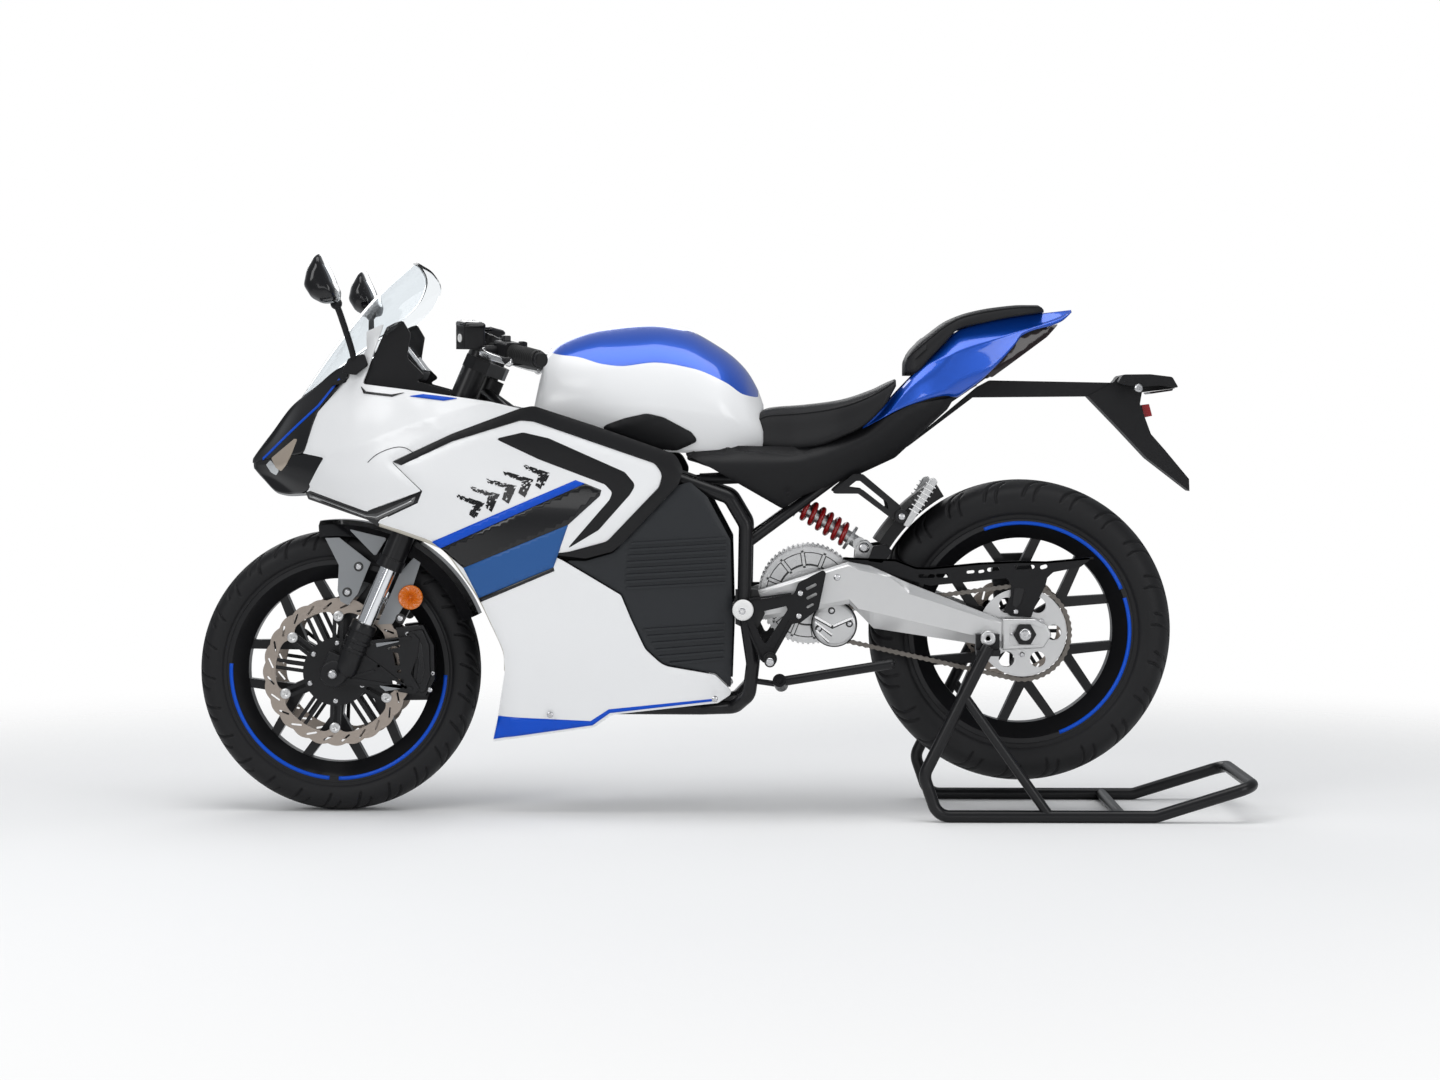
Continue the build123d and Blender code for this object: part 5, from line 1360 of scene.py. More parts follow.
def chain_point(travel):
    """The point of the chain's pitch line at a share of its way round both sprockets."""
    (ax, az), (bx, bz) = DRIVE_AXLE, REAR_AXLE
    small, large = SMALL_PITCH, LARGE_PITCH
    length, heading = math.hypot(bx - ax, bz - az), math.atan2(bz - az, bx - ax)
    lean = math.acos((small - large) / length)
    straight = length * math.sin(lean)
    rear, front = 2 * lean * large, 2 * (math.pi - lean) * small
    travel = (travel % 1.0) * (2 * straight + rear + front)
    if travel < straight:
        cx, cz, r, turn, ahead = ax, az, small, lean, travel
    elif travel < straight + rear:
        cx, cz, r, turn, ahead = bx, bz, large, lean - (travel - straight) / large, 0
    elif travel < 2 * straight + rear:
        cx, cz, r, turn, ahead = bx, bz, large, -lean, travel - straight - rear
    else:
        cx, cz, r, turn, ahead = ax, az, small, -lean - (travel - 2 * straight - rear) / small, 0
    angle = heading + turn
    forward = angle - math.pi / 2
    x = cx + r * math.cos(angle) + ahead * math.cos(forward)
    z = cz + r * math.sin(angle) + ahead * math.sin(forward)
    return Vector((x, z))


LINKS = 92
chain = []
for link in range(LINKS):
    a, b = chain_point(link / LINKS), chain_point((link + 1) / LINKS)
    run = (b - a).normalized()
    up = Vector((-run.y, run.x))
    loop = []
    for centre, start in ((b, -1), (a, 1)):
        for k in range(7):
            t = start * math.pi / 2 + k * math.pi / 6
            loop.append(centre + run * 5.1 * math.cos(t) + up * 5.1 * math.sin(t))
        loop.append((a + b) / 2 + up * (-3.1 * start))
    near, far = (6.4, 7.6) if link % 2 else (4.9, 6.1)
    for side in BOTH:
        chain.append(drawn_out([loop], CHAIN_PLANE + side * near, CHAIN_PLANE + side * far))
    for radius, count, half in ((3.9, 10, 4.9), (1.9, 8, 8.6)):
        pin = [a + Vector((math.cos(t), math.sin(t))) * radius for t in ring_angles(count)]
        chain.append(drawn_out([pin], CHAIN_PLANE - half, CHAIN_PLANE + half))
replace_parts(new_piece("chain_links", *join(chain), "chain", "chassis", smooth=False), "chain")


# ------------------------------------------------------------------ swingarm


def circle(x, z, radius, steps=32):
    """A round outline for a slab, with corners that stay as they are."""
    angles = [2 * math.pi * k / steps for k in range(steps)]
    return [(x + radius * math.cos(a), z + radius * math.sin(a), 0) for a in angles]


def polyline(knots):
    """Straight runs through (x, y) knots."""
    xs, ys = [k[0] for k in knots], [k[1] for k in knots]
    return lambda x: float(np.interp(x, xs, ys))


def flat_shaded(obj):
    """Shows every face of an object flat."""
    obj.data.polygons.foreach_set("use_smooth", [False] * len(obj.data.polygons))


ARM_TOP = polyline(((24, 442), (50, 458), (259, 525), (305, 517), (380, 483), (576, 406), (590, 380)))
ARM_LOW = polyline((
    (24, 418), (30, 410), (60, 402), (262, 440), (312, 389), (516, 358), (584, 351), (590, 376)
))
ARM_CREASE = polyline(((24, 424), (60, 410), (262, 449), (280, 430), (514, 376), (584, 362), (590, 377)))
ARM_RIM = polyline((
    (24, 438), (50, 452), (259, 517), (284, 508), (345, 494), (372, 473), (384, 460), (576, 398), (590, 379)))
ARM_CORNERS = [30, 50, 60, 259, 262, 280, 284, 305, 312, 345, 372, 380, 384, 514, 516, 576, 584]
stations = sorted(set(list(np.linspace(24, 590, 64)) + ARM_CORNERS))
arm_rows = []
for x in stations:
    top, low = ARM_TOP(x), ARM_LOW(x)
    crease = min(max(ARM_CREASE(x), low + 0.8), top - 1.6)
    rim = max(min(ARM_RIM(x), top - 0.8), crease + 0.6)
    drop = 14 if x > 300 else 5 + 9 * max(0.0, (x - 262) / 38)
    arm_rows.append((
        (107, low), (107, top), (131.5, top), (134, rim + 0.35 * (top - rim)), (136, rim), (136, crease),
        (136 - drop, low)))
for side, word in WORDS:
    rows = [[(x, side * y, z) for y, z in row] for x, row in zip(stations, arm_rows)]
    arm = soften(lofted(f"swingarm_{word}", rows, "silver", "chassis"), 1.6, 22, 3)
    flat_shaded(arm)
    if side == -1:
        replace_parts(arm, "swingarm")
ADJUSTER = ((572, 410, 6), (640, 410, 8), (664, 398, 8), (674, 376, 8), (656, 350, 8), (572, 346, 6))
slab("adjuster_plates", ADJUSTER, 107, 142, "silver", corner=6, bevel=4, sides=BOTH)
ADJUSTER_RIM = (
    (576, 407, 4), (640, 407, 6), (660, 397, 6), (652, 392, 6), (636, 398, 6), (588, 398, 4), (588, 356, 4),
    (648, 358, 6), (655, 353, 6), (576, 349, 4),
)
slab("adjuster_rims", ADJUSTER_RIM, 141, 144.5, "silver", corner=3, bevel=1.4, sides=BOTH)
# the dark slot is painted shade in the adjuster's opening
ADJUSTER_SLOT = ((606, 371, 8), (636, 371, 8), (636, 387, 8), (606, 387, 8))
slab("adjuster_slots", ADJUSTER_SLOT, 141, 142.6, "washer", corner=7, bevel=0.4, sides=BOTH)
# columns: name, x, z, radius, from, to
RODS = (
    ("pivot_tube", *PIVOT, 24, -107, 107), ("axle_rod", *REAR_AXLE, 8.5, -165, 165),
    ("axle_spacer", *REAR_AXLE, 16, 90, 108),
    ("spool_stem", *SPOOL, 11, 130, 176), ("spool_flange_in", *SPOOL, 15, 136, 142),
    ("spool_flange_out", *SPOOL, 15, 170, 176),
    ("cross_tube", 298, 490, 17, -108, 108),
)
for name, x, z, radius, y0, y1 in RODS:
    mat = "bright" if "spool" in name else "silver"
    slab(name, circle(x, z, radius), y0, y1, mat, corner=0, bevel=1, sides=(1,) if y0 < 0 else BOTH)
for side in BOTH:
    bolt("chassis", (594, side * 142, 379), (0, side, 0), 4.4, 3, "steel")
    bolt("chassis", (604, side * 101, 422), (0, side, 0), 5.5, 4, "steel")


# ------------------------------------------------------------------ reflectors and brake discs


def across_disc(name, centre, rings, mat, body, side, steps=48, facets=0.0):
    """A round face looking outwards: rings of (radius, distance across), with radial facets of a depth."""
    rows = []
    for r, y in rings:
        row = []
        for k in range(steps):
            a = 2 * math.pi * k / steps
            wave = facets * (k % 2) if 3 < r < rings[-1][0] - 3 else 0
            row.append((centre[0] + r * math.cos(a), side * (y - wave), centre[1] + r * math.sin(a)))
        rows.append(row)
    return lofted(name, rows, mat, body)


REFLECTOR = ((0.6, 84), (6, 84), (13, 84), (19, 84), (23.4, 84), (25.4, 82.6), (25.4, 76))
PIVOT_CAP = ((0.5, 196.2), (14, 196.0), (19.5, 195.0), (21.3, 193.2), (21.3, 190))
for side, word in WORDS:
    name = f"side_reflector_{word}"
    flat_shaded(across_disc(name, (-642, 449), REFLECTOR, "amber", "steering", side, 32, 2.2))
    across_disc(f"pivot_cap_{word}", PIVOT, PIVOT_CAP, "white_cap", "chassis", side)


# angles of a carrier's arms: those that end at a bobbin, and those between them
BOBBINS = (28, 88, 142, 203, 268, 333)
BETWEEN = (58, 115, 172, 235, 303, 0)


def spoke_bars(axle, angles, start, end, gap, width):
    """Pairs of straight arms that point away from an axle."""
    out = []
    corners = ((start, -width / 2), (end, -width / 2), (end, width / 2), (start, width / 2))
    for angle in angles:
        c, d = math.cos(math.radians(angle)), math.sin(math.radians(angle))
        for off in (-gap / 2, gap / 2):
            out.append([
                (axle[0] + r * c - (off + w) * d, axle[1] + r * d + (off + w) * c) for r, w in corners
            ])
    return out


def brake_disc(name, node, axle, outer, inner, plane, hub, bore, body, sides, waves=24, wave=4.2):
    """A wave-edged disc with slanted slots, tabs inside it and the carrier that holds it to the hub."""
    def edge(a):
        return outer - wave + wave * abs(math.cos(math.radians(a) * waves / 2))

    def tabs(a):
        near = min(abs((a - b + 180) % 360 - 180) for b in BOBBINS)
        return inner - 13 * math.exp(-((near / 6.5) ** 2))

    loops = [polar_loop(axle, edge, waves * 10), polar_loop(axle, tabs, 240)]
    middle = (outer - wave + inner) / 2
    reach = (outer - inner - wave) * 0.42
    for k in range(waves):
        cx, cz = at_angle(axle, middle, 360 / waves * (k + 0.5))
        t = math.radians(360 / waves * (k + 0.5)) - math.radians(58)
        dx, dz = reach * math.cos(t), reach * math.sin(t)
        loops.append(slot_loop(cx - dx, cz - dz, cx + dx, cz + dz, 4))
    band = holed(f"{name}_band", loops, plane - 2.2, plane + 2.2, "disc", body, sides)
    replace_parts(band, node)
    carrier = [polar_loop(axle, hub), polar_loop(axle, bore)]
    holed(f"{name}_hub", carrier, plane - 2.5, plane + 2.7, "black", body, sides)
    arms = spoke_bars(axle, BOBBINS, hub - 4, inner - 12, 15, 7.5)
    arms += spoke_bars(axle, BETWEEN, hub - 4, inner + 0.5, 15, 7.5)
    bars(f"{name}_arms", arms, plane - 2, plane + 2, "black", body, sides)
    y = plane + 2.4
    bobbin = (
        (0.6, y + 1.0), (3.2, y + 1.0), (3.6, y + 1.9), (10.2, y + 1.5), (11.2, y + 0.4), (11.2, y - 4.6)
    )
    for side in sides:
        word = "left" if side < 0 else "right"
        for k, angle in enumerate(BOBBINS):
            place = at_angle(axle, inner - 11, angle)
            across_disc(f"{name}_bobbin_{word}_{k}", place, bobbin, "silver", body, side, 24)
            x, z = at_angle(axle, hub - 10, angle)
            bolt(body, (x, side * (plane + 2.6), z), (0, side, 0), 5.6, 3.4, "steel")


brake_disc("front_disc", "front_discs", FRONT_AXLE, 153.5, 127, 64.5, 70, 34, "front_wheel", BOTH)
brake_disc("rear_disc", "rear_disc", REAR_AXLE, 109.5, 86, 73.5, 54, 38, "rear_wheel", (1,), waves=20, wave=3)


# ------------------------------------------------------------------ fork feet and calipers
RAKE = math.radians(23.5)
# columns: height, radius; the ribbed socket at the foot of each leg
FOOT_RINGS = (
    (292, 20), (300, 25), (338, 25), (339, 27), (345, 27), (346, 25), (356, 25), (357, 27), (363, 27),
    (364, 25.4), (378, 25.4), (379, 27.2), (394, 27.2), (397, 25.5), (397, 18),
)
LUG_EDGE = (
    (-788, 359, 3), (-700, 352, 6), (-634, 376, 5), (-622, 362, 5), (-626, 330, 4), (-640, 292, 4),
    (-622, 262, 4), (-632, 252, 6), (-700, 262, 6), (-790, 272, 2),
)
LUG_HOLES = (
    ((-678, 338, 2), (-666, 334, 2), (-662, 309, 2), (-672, 309, 2)),
    ((-668, 300, 1), (-660, 300, 1), (-660, 294, 1), (-668, 294, 1)),
    ((-680, 280, 2), (-654, 282, 2), (-655, 270, 2), (-678, 267, 2)),
    ((-690, 346, 2), (-660, 352, 2), (-664, 346, 1.5), (-688, 341, 1.5)),
)
LUG_RIBS = (
    # columns: x and z of both ends, width
    (-774, 352, -642, 366, 7), (-760, 344, -706, 308, 6), (-706, 308, -650, 264, 6),
    (-776, 282, -640, 262, 7), (-716, 298, -764, 284, 5),
)
for side, word in WORDS:
    rows = []
    for height, radius in FOOT_RINGS:
        cx = -779 + math.tan(RAKE) * (height - FOOT_RINGS[0][0])
        row = []
        for t in ring_angles(40):
            c, d = radius * math.cos(t), radius * math.sin(t)
            row.append((cx + c * math.cos(RAKE), side * (100 + d), height - c * math.sin(RAKE)))
        rows.append(row)
    foot = soften(lofted(f"fork_foot_{word}", rows, "black", "steering"), 0.8, 50)
    if side == -1:
        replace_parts(foot, "axle_clamps")
AXLE_WEB = ((-822, 303, 4), (-806, 340, 4), (-752, 318, 4), (-772, 280, 4), (-798, 268, 8))
slab("axle_boss", circle(*FRONT_AXLE, 27.5), 81, 119, "black", "steering", corner=0, bevel=4, sides=BOTH)
slab("axle_web", AXLE_WEB, 84, 116, "black", "steering", corner=4, bevel=4, sides=BOTH)
slab("axle_tube_front", circle(*FRONT_AXLE, 10), -126, 126, "black", "steering", corner=0, bevel=1)
slab("axle_collar_front", circle(*FRONT_AXLE, 15), 68, 81, "black", "steering", corner=0, bevel=1, sides=BOTH)
lug_loops = [rounded(LUG_EDGE, 4)] + [rounded(hole, 2) for hole in LUG_HOLES]
holed("caliper_lug", lug_loops, 87, 97, "black", "steering", BOTH)
bars("caliper_lug_ribs", [slot_loop(*rib) for rib in LUG_RIBS], 95, 101, "black", "steering", BOTH)
# columns: name, from, to, material, corner, bevel, outline
CALIPER_PARTS = (
    # the two grey strips along the lug's upper and lower edges are painted highlights
    ("lug_highlight_top", 97, 101, "grey_paint", 2, 1, (
        (-712, 356, 2), (-662, 366, 2), (-664, 358, 2), (-710, 347, 2))),
    ("lug_highlight_low", 97, 101, "grey_paint", 2, 1, (
        (-706, 268, 2), (-652, 272, 2), (-656, 262, 2), (-692, 256, 2))),
    ("caliper_bridge", 84, 92, "black", 6, 3, (
        (-648, 378, 6), (-616, 384, 6), (-602, 350, 6), (-600, 286, 6), (-612, 252, 6), (-640, 256, 6),
        (-634, 320, 8))),
    ("caliper_name_plate", 91, 93.5, "gloss_black", 5, 1, (
        (-636, 356, 5), (-618, 358, 5), (-611, 300, 6), (-620, 270, 5), (-630, 274, 5), (-625, 318, 8))),
)
for name, y0, y1, mat, corner, bevel, outline in CALIPER_PARTS:
    slab(name, outline, y0, y1, mat, "steering", corner=corner, bevel=bevel, sides=BOTH)


# ------------------------------------------------------------------ chain guard, foot plates and motor
# points (x, z); slots and ribs as x and z of both ends, then width
GUARD_TOP = ((250, 533), (357, 529), (399, 513), (428, 512), (527, 522), (607, 526), (666, 525), (762, 534))
GUARD_LOW = (
    (736, 514), (680, 503), (668, 492), (664, 475), (644, 435), (635, 410), (593, 413), (580, 424),
    (593, 454), (594, 475), (586, 491), (428, 475), (399, 483), (250, 529),
)
GUARD_SLOTS = (
    (408, 495, 434, 495, 8), (444, 496, 462, 496, 8), (506, 503, 516, 504, 6), (530, 504, 536, 505, 6),
    (549, 508, 568, 510, 8), (606, 512, 638, 514, 8), (657, 513, 664, 515, 8),
)
guard_loops = [rounded(GUARD_TOP + GUARD_LOW, 6)] + [slot_loop(*slot) for slot in GUARD_SLOTS]
guard = holed("chain_guard_plate", guard_loops, -98, -101, "plastic")
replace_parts(guard, "chain_guard")
guard_lip = list(GUARD_TOP) + [(x, z - 4) for x, z in reversed(GUARD_TOP)]
bars("chain_guard_lip", [guard_lip], CHAIN_PLANE, -101, "plastic")
GUARD_GROOVE = ((600, 470, 4), (622, 470, 4), (614, 440, 4), (604, 428, 4), (596, 436, 4))
slab("chain_guard_groove", GUARD_GROOVE, -100.5, -102.5, "black", corner=4, bevel=0.8)

REARSET_EDGE = (
    (30, 432), (44, 446), (149, 462), (158, 485), (208, 511), (214, 505), (199, 432), (162, 404), (146, 402),
    (106, 330), (88, 322), (80, 330), (58, 396), (32, 414),
)
REARSET_HOLE = ((74, 424), (134, 438), (136, 430), (90, 358), (69, 402))
HEEL_SLOTS = ((176, 473, 192, 481, 6), (177, 454, 193, 462, 6), (177, 436, 187, 441, 5))
REARSET_RIBS = ((60, 452, 142, 463, 4), (50, 405, 82, 332, 4), (142, 408, 108, 340, 4))
heel_slots = [slot_loop(*slot) for slot in HEEL_SLOTS]
rearset_loops = [rounded(REARSET_EDGE, 7), rounded(REARSET_HOLE, 6)] + heel_slots
plate = holed("rearset_plates", rearset_loops, 180, 187, "plastic", sides=BOTH)
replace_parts(plate, "rearsets")
slab("rearset_boss", circle(*PIVOT, 22), 184, 191, "black", corner=0, bevel=1.4, sides=BOTH)
bars("rearset_edge_ribs", [slot_loop(*rib) for rib in REARSET_RIBS], 186, 190, "plastic", sides=BOTH)
slab("footpeg_boss", circle(*FOOTPEG, 14), 176, 200, "black", corner=0, bevel=2, sides=BOTH)
slab("footpeg", circle(*FOOTPEG, 10), 199, 272, "black", corner=0, bevel=1.6, sides=BOTH)
for k in range(8):
    y = 206 + 8 * k
    slab(
        f"footpeg_rib_{k}", circle(*FOOTPEG, 11.4, 24), y, y + 3.5, "rubber", corner=0, bevel=0.5, sides=BOTH
    )

HANGER_EDGE = ((222, 664), (270, 704), (290, 704), (366, 640), (370, 612), (350, 612), (280, 664))
HANGER_HOLE = ((258, 676), (276, 690), (286, 690), (340, 646), (344, 630), (290, 672))
hanger = holed(
    "peg_hangers", [rounded(HANGER_EDGE, 6), rounded(HANGER_HOLE, 4)], 116, 124, "black", sides=BOTH
)
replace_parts(hanger, "passenger_pegs")
slab("peg_hinge", circle(368, 618, 14), 116, 145, "black", corner=0, bevel=2, sides=BOTH)

MOTOR = (179, 455)


def motor_spokes(name, count, first, start, end, gap, width, y0, y1, mat):
    """Even radial bars round the motor's middle, in pairs where there is a gap between them."""
    angles = [360 // count * k + first for k in range(count)]
    arms = spoke_bars(MOTOR, angles, start, end, gap, width)
    bars(name, arms if gap else arms[::2], y0, y1, mat)


# the dark motor well is painted shade, seen in the recessed gaps between the wall, the inner ring and the rim
# columns: name, outer radius, inner radius, from, to, material
MOTOR_RINGS = (
    ("motor_rim", 98.5, 88, -66, -77, "silver"), ("motor_well", 88.5, 58, -72, -74.6, "washer"),
    ("motor_wall", 86, 64, -72, -75.4, "silver"), ("motor_ring", 60, 52, -72, -77, "silver"),
)
motor_spokes("motor_teeth", 60, 0, 97, 103.5, 0, 4.4, -58, 60, "silver")
for name, outer, inner, y0, y1, mat in MOTOR_RINGS:
    holed(name, [polar_loop(MOTOR, outer), polar_loop(MOTOR, inner)], y0, y1, mat)
motor_spokes("motor_ribs", 12, 8, 56, 92, 0, 5, -70, -77, "silver")
motor_spokes("motor_rib_shades", 12, 8, 60, 88, 8, 2, -70, -75.8, "washer")
# the two cheeks on the swingarm that hold the foot of the shock absorber
SHOCK_LUG = ((272, 500, 6), (276, 546, 12), (286, 564, 10), (302, 566, 10), (316, 552, 12), (316, 500, 6))
slab("shock_lugs", SHOCK_LUG, 16, 24, "silver", corner=8, bevel=1.6, sides=BOTH)
slab("shock_pin", circle(295, 550, 8), -26, 26, "steel", corner=0, bevel=1)
bolt("chassis", (295, -26, 550), (0, -1, 0), 11, 5, "steel")
SPROCKET_COVER = ((0.6, 106.4), (38, 106.4), (43, 105.4), (45, 103.4), (45, 98))
COVER_SHADE = ((30, 100.5), (47.2, 100.5), (47.2, 96))
COVER_WELL = ((0.5, 106.9), (6.8, 106.9), (7.4, 106.6), (7.4, 104))
COVER_RIDGES = (
    (194, 411, 228, 392, 4.4), (228, 392, 268, 409, 4.4), (194, 400, 226, 376, 3.6),
    (196, 383, 220, 361, 3.6),
)
RIDGE_SHADES = (
    (196, 406, 228, 388, 3), (228, 388, 266, 405, 3), (197, 395.5, 226, 372, 2.6),
    (200, 378.5, 220, 357.5, 2.6),
)
across_disc("sprocket_cover", DRIVE_AXLE, SPROCKET_COVER, "silver", "chassis", -1, 72)
across_disc("sprocket_cover_shade", DRIVE_AXLE, COVER_SHADE, "black", "chassis", -1, 72)
bars("cover_ridges", [slot_loop(*ridge) for ridge in COVER_RIDGES], -106, -109, "bright")
bars("cover_ridge_shades", [slot_loop(*ridge) for ridge in RIDGE_SHADES], -106, -107, "washer")
# each screw sits in a dark well, which is painted shade in its recess
for x, z in ((226.5, 424), (263, 397), (200, 387)):
    across_disc(f"cover_well_{x:.0f}", (x, z), COVER_WELL, "washer", "chassis", -1, 24)
    bolt("chassis", (x, -106.8, z), (0, -1, 0), 4.6, 2.6, "steel")


# ------------------------------------------------------------------ handlebar controls
BAR_ALONG = Vector((137.9, 235.0, -35.0)).normalized()
BAR_FRONT = Vector((-BAR_ALONG.y, BAR_ALONG.x, 0)).normalized()
BAR_START = Vector((-485.9, 100, 966))


def bar_point(along, forward, up, side):
    """A point by its distances along the handlebar, ahead of it and above it."""
    q = BAR_START + BAR_ALONG * along + BAR_FRONT * forward + Vector((0, 0, up))
    return Vector((q.x, side * q.y, q.z))


def bar_ring(along, forward, up, wide, tall, side, power=0.6, steps=20):
    """A rounded section square to the handlebar."""
    out = []
    for k in range(steps):
        a = 2 * math.pi * k / steps
        c, d = math.cos(a), math.sin(a)
        ahead, above = wide * math.copysign(abs(c) ** power, c), tall * math.copysign(abs(d) ** power, d)
        out.append(bar_point(along, forward + ahead, up + above, side))
    return out


def bar_block(name, side, low, high, mat, bevel=2.0):
    """A bevelled box set by (along, forward, up) corners."""
    corners = ((low[0], low[1]), (high[0], low[1]), (high[0], high[1]), (low[0], high[1]))
    points = [bar_point(a, f, u, side) for u in (low[2], high[2]) for a, f in corners]
    faces = [[0, 1, 2, 3], [7, 6, 5, 4], [0, 4, 5, 1], [1, 5, 6, 2], [2, 6, 7, 3], [3, 7, 4, 0]]
    return soften(new_piece(name, points, faces, mat, "steering"), bevel, 30, 3)


# columns: along, ahead of the bar, above it, half width, half height
LEVER = (
    (102, 41, 0, 5.2, 9.6), (128, 64, -1, 5.0, 7.6), (160, 68, -2.5, 5.0, 6.9), (190, 70, -4, 5.0, 6.4),
    (222, 65.5, -6, 5.0, 6.0), (246, 60.5, -8, 5.0, 5.4),
)
lever_knots = [through([(row[0], row[c]) for row in LEVER]) for c in (1, 2, 3, 4)]
BAR_WEIGHT = ((262, 14), (263, 15.4), (270, 15.4), (272.5, 14), (273, 6))
# columns: size of the lid's outline, height above the bar
LID_LAYERS = ((1.0, 47), (1.0, 51.5), (0.90, 55.5), (0.70, 56.6))
LID_EDGE = rounded([(-26, -23), (29, -23), (29, 23), (-26, 23)], 8)
# the reservoir's middle: along the bar and ahead of it
LID_ALONG, LID_AHEAD = 72, 63
# columns: radius, distance out from the part's own place
SIGHT_GLASS = ((8.5, -1), (8.5, 1.6), (7, 2.2), (6.6, 1.0), (1, 1.6))
ADJUSTER_KNOB = ((9, -6), (10, -5), (10, 4), (8.6, 6))
# columns: name, low corner, high corner, material, bevel
SWITCHES = (
    ("switch_red", (104, -24, 4), (118, -19.5, 14), "red_lens", 1.4),
    ("switch_top", (96, -10, 20), (110, 6, 32), "black", 2.5),
    ("switch_rocker", (118, -23.5, -6), (134, -19.5, 4), "grey", 1.4),
)
for side, word in WORDS:
    blade = []
    for along in np.linspace(LEVER[0][0], LEVER[-1][0], 30):
        forward, up, wide, tall = [knot(along) for knot in lever_knots]
        blade.append(bar_ring(along, forward, up, wide, tall, side))
    lofted(f"lever_blade_{word}", blade, "bright", "steering")
    ball(f"lever_ball_{word}", bar_point(248.8, 60, -8, side), 9, "bright", "steering")
    grip = []
    for k, along in enumerate(np.linspace(150, 262, 57)):
        rise = 17.3 + (0.9 if k % 4 < 2 and 4 < k < 52 else 0) + (2.2 if k < 3 else 0)
        grip.append(bar_ring(along, 0, 0, rise, rise, side, 1.0, 32))
    lofted(f"grip_ribs_{word}", grip, "rubber", "steering")
    weight = [bar_ring(along, 0, 0, r, r, side, 1.0, 28) for along, r in BAR_WEIGHT]
    lofted(f"bar_weight_{word}", weight, "black", "steering")
    lid = []
    for size, up in LID_LAYERS:
        lid.append([bar_point(LID_ALONG + q.x * size, LID_AHEAD + q.y * size, up, side) for q in LID_EDGE])
    lofted(f"reservoir_lid_{word}", lid, "gloss_black", "steering")
    for a, f in ((-20, -16), (22, -16), (22, 16), (-20, 16)):
        place = bar_point(LID_ALONG + a * 0.8, LID_AHEAD + f * 0.85, 55.4, side)
        bolt("steering", place, (0, 0, 1), 3.2, 2.2, "steel")
    glass = []
    for r, h in SIGHT_GLASS:
        glass.append([
            bar_point(LID_ALONG + r * math.cos(t), 86 + h, 22 + r * math.sin(t), side)
            for t in ring_angles(24)])
    lofted(f"sight_glass_{word}", glass, "white_cap", "steering")
    for name, low, high, mat, bevel in SWITCHES:
        bar_block(f"{name}_{word}", side, low, high, mat, bevel)
    knob = []
    for r, h in ADJUSTER_KNOB:
        knob.append([
            bar_point(52 + h, 30 + r * math.cos(t), 8 + r * math.sin(t), side) for t in ring_angles(20)])
    lofted(f"adjuster_{word}", knob, "black", "steering")


# ------------------------------------------------------------------ rear lamp unit, pegs and rear axle
# columns: name, half length across the bike, material, corner, bevel, outline
LAMP_UNIT = (
    ("plate_reflector", 21, "red_lens", 1, 1, (
        (874, 820, 1), (890.5, 823.5, 1), (884, 848, 1), (868, 846, 1))),
    ("plate_lamp_cap", 72, "plastic", 4, 3, (
        (812, 889, 8), (824, 908, 10), (880, 908.5, 20), (925, 903, 8), (938, 880.5, 3), (900, 885, 20),
        (850, 882, 20))),
    ("plate_lamp_lens", 50, "smoke", 1, 1, (
        (880, 872.5, 2), (930, 879, 2), (928, 875, 2), (884, 868.5, 2))),
)
for name, half, mat, corner, bevel, outline in LAMP_UNIT:
    slab(name, outline, -half, half, mat, corner=corner, bevel=bevel)
FOLDED_PEG = ((371, 600, 3), (383, 596, 3), (441, 688, 5), (435, 697, 5), (424, 694, 5))
AXLE_NUT = [(*at_angle(REAR_AXLE, 23.6, 60 * k), 3) for k in range(6)]
# columns: name, centre, rings of (radius, distance across), material, body
ROUND_ENDS = (
    ("axle_end", REAR_AXLE, (
        (1.5, 166.4), (4, 167), (10.5, 166.6), (12.4, 165), (12.4, 156)), "steel", "chassis"),
    ("front_axle_end", FRONT_AXLE, (
        (3.5, 124), (4, 127.6), (8, 127.8), (9.4, 126.4), (9.4, 119)), "steel", "steering"),
    ("spool_cap", SPOOL, (
        (0.6, 175.2), (4.6, 175.2), (5, 176.8), (13, 177), (15.4, 175.6), (15.4, 170)), "silver", "chassis"),
)
for side, word in WORDS:
    bolt("chassis", (855, side * 75, 880), (0, side, 0), 9, 6, "steel")
    slab(f"folded_peg_{word}", FOLDED_PEG, side * 122, side * 146.5, "silver", corner=3, bevel=3)
    for k in range(7):
        t = 0.28 + 0.1 * k
        x, z = 377 + 56 * t, 603 + 88 * t
        groove = ((x - 10, z + 6), (x + 10, z - 6), (x + 11.2, z - 4), (x - 8.8, z + 8))
        slab(f"peg_groove_{word}_{k}", groove, side * 124, side * 147.4, "bright", corner=0.4, bevel=0.5)
    slab(f"axle_nut_{word}", AXLE_NUT, side * 144, side * 157, "black", corner=3, bevel=1.6)
    for name, centre, rings, mat, body in ROUND_ENDS:
        across_disc(f"{name}_{word}", centre, rings, mat, body, side, 32)


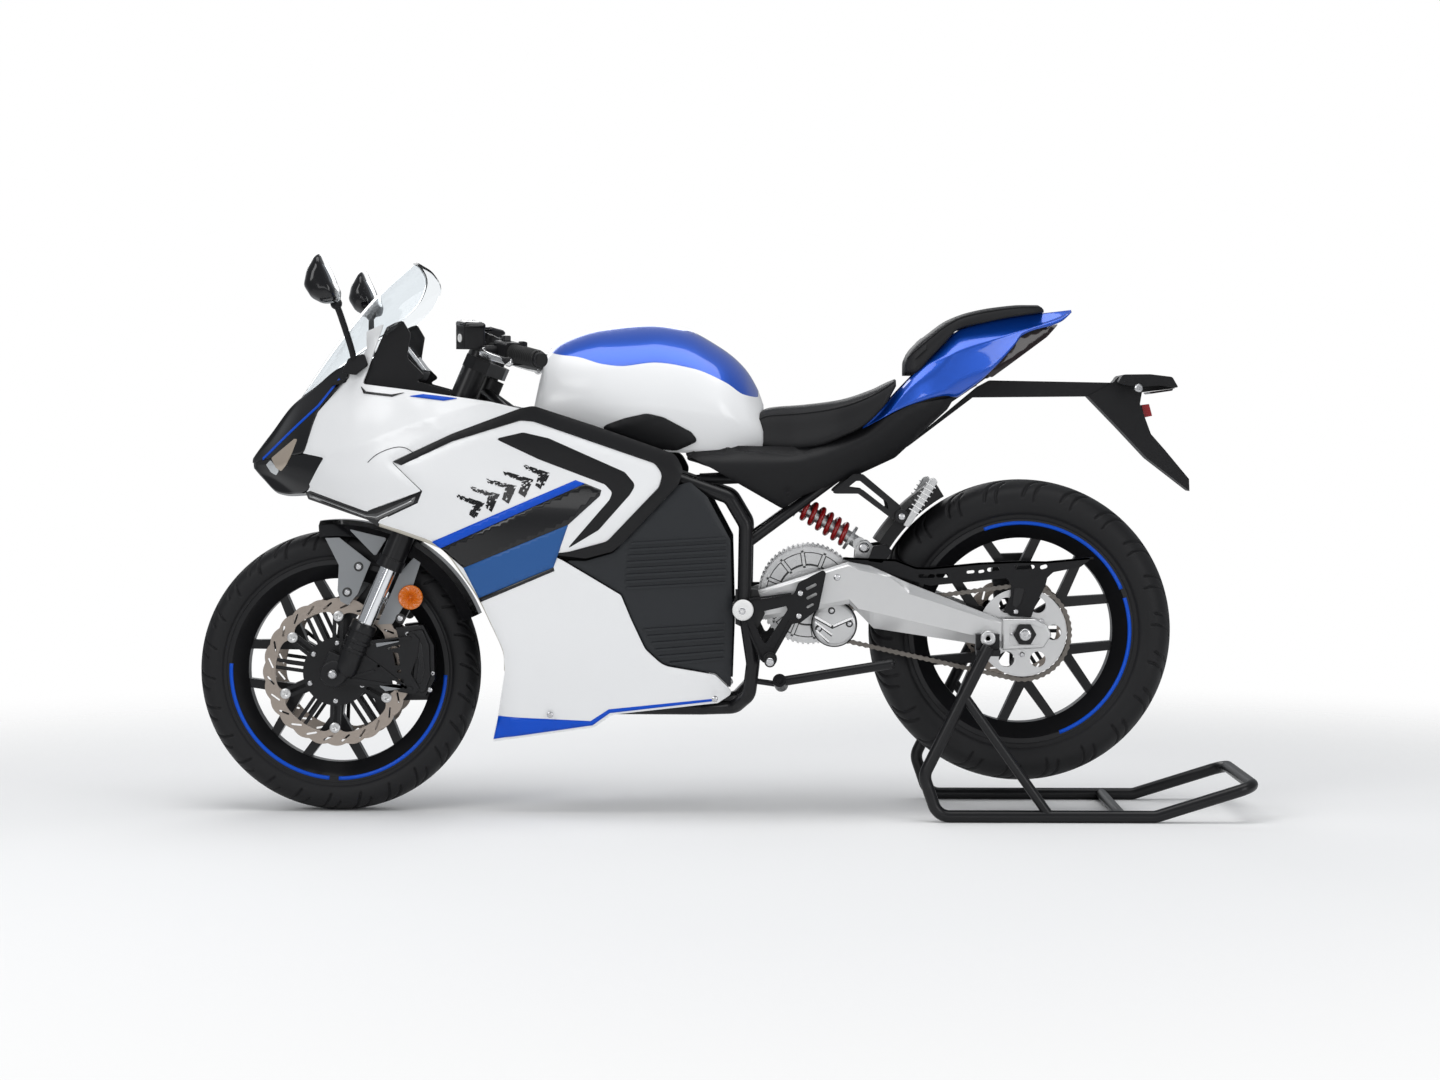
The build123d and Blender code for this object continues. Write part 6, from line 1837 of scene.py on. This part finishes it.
# ------------------------------------------------------------------ screws and bolts
# columns: body, x, y, z, radius, height, material; each stands on both sides and looks outwards
FENDER_SCREW_Y = 75
SCREWS = (
    ("chassis", -350, 128, 211, 6.5, 4, "steel"), ("chassis", -12, 149, 246, 6.5, 4, "steel"),
    ("chassis", -64, 170, 647, 5, 3, "plastic"), ("chassis", 17, 160, 517, 5, 3, "plastic"),
    ("chassis", -63, 156, 741, 5, 3, "plastic"), ("chassis", 138, 152, 664, 5, 3, "plastic"),
    ("steering", -750, FENDER_SCREW_Y, 512, 6.5, 4, "steel"),
    ("steering", -774, FENDER_SCREW_Y, 459, 6.5, 4, "steel"),
    ("steering", -664, FENDER_SCREW_Y, 405, 6.5, 4, "steel"),
    ("steering", -648, 84, 373, 5.5, 4, "steel"), ("steering", -617, 84, 369, 5.5, 4, "steel"),
    ("steering", -596, 84, 292, 4.5, 4, "steel"), ("steering", -602, 84, 258, 5.5, 4, "steel"),
    ("steering", -798, 126, 293, 8.5, 5, "steel"),
    ("chassis", 44.5, 194, 428, 8, 3, "steel"), ("chassis", 162, 188, 464, 6, 4, "steel"),
    ("chassis", 159, 188, 418, 6, 4, "steel"), ("chassis", 101, 272, 331, 8, 3, "steel"),
    ("chassis", 237, 136, 494, 7, 4, "steel"), ("chassis", 368, 146, 618, 7, 4, "steel"),
)
for body, x, y, z, radius, height, mat in SCREWS:
    for side in BOTH:
        if y == FENDER_SCREW_Y:
            bolt(body, (x, side * (y - 0.2), z), (0, side, 0), radius * 1.55, 1.4, "washer", False)
        bolt(body, (x, side * y, z), (0, side, 0), radius, height, mat)
for k in range(6):
    x, z = at_angle(REAR_AXLE, 46, 30 + 60 * k)
    bolt("rear_wheel", (x, -89, z), (0, -1, 0), 5.5, 4, "steel")


# ------------------------------------------------------------------ fasteners
for (body, mat), (points, faces) in BOLTS.items():
    new_piece(f"fasteners_{body}_{mat}", points, faces, mat, body, smooth=False)


# ------------------------------------------------------------------ stage
floor_mesh = bpy.data.meshes.new("floor")
floor_mesh.from_pydata([(-9, -9, 0), (9, -9, 0), (9, 9, 0), (-9, 9, 0)], [], [[0, 1, 2, 3]])
floor = bpy.data.objects.new("floor", floor_mesh)
bpy.context.scene.collection.objects.link(floor)
floor_mat = bpy.data.materials.new("pale_floor")
floor_mat.use_nodes = True
ft = floor_mat.node_tree
f_bsdf = ft.nodes["Principled BSDF"]
f_bsdf.inputs["Base Color"].default_value = (0.93, 0.93, 0.93, 1)
f_bsdf.inputs["Roughness"].default_value = 0.9
f_bsdf.inputs["Specular IOR Level"].default_value = 0.1
f_coord = ft.nodes.new("ShaderNodeTexCoord")
f_len = ft.nodes.new("ShaderNodeVectorMath")
f_len.operation = "LENGTH"
ft.links.new(f_coord.outputs["Object"], f_len.inputs[0])
f_fade = ft.nodes.new("ShaderNodeMapRange")
f_fade.interpolation_type = "SMOOTHSTEP"
f_fade.inputs["From Min"].default_value = 1.3
f_fade.inputs["From Max"].default_value = 3.4
ft.links.new(f_len.outputs["Value"], f_fade.inputs["Value"])
f_clear = ft.nodes.new("ShaderNodeBsdfTransparent")
f_mix = ft.nodes.new("ShaderNodeMixShader")
ft.links.new(f_fade.outputs["Result"], f_mix.inputs[0])
ft.links.new(f_bsdf.outputs[0], f_mix.inputs[1])
ft.links.new(f_clear.outputs[0], f_mix.inputs[2])
ft.links.new(f_mix.outputs[0], ft.nodes["Material Output"].inputs["Surface"])
floor.data.materials.append(floor_mat)
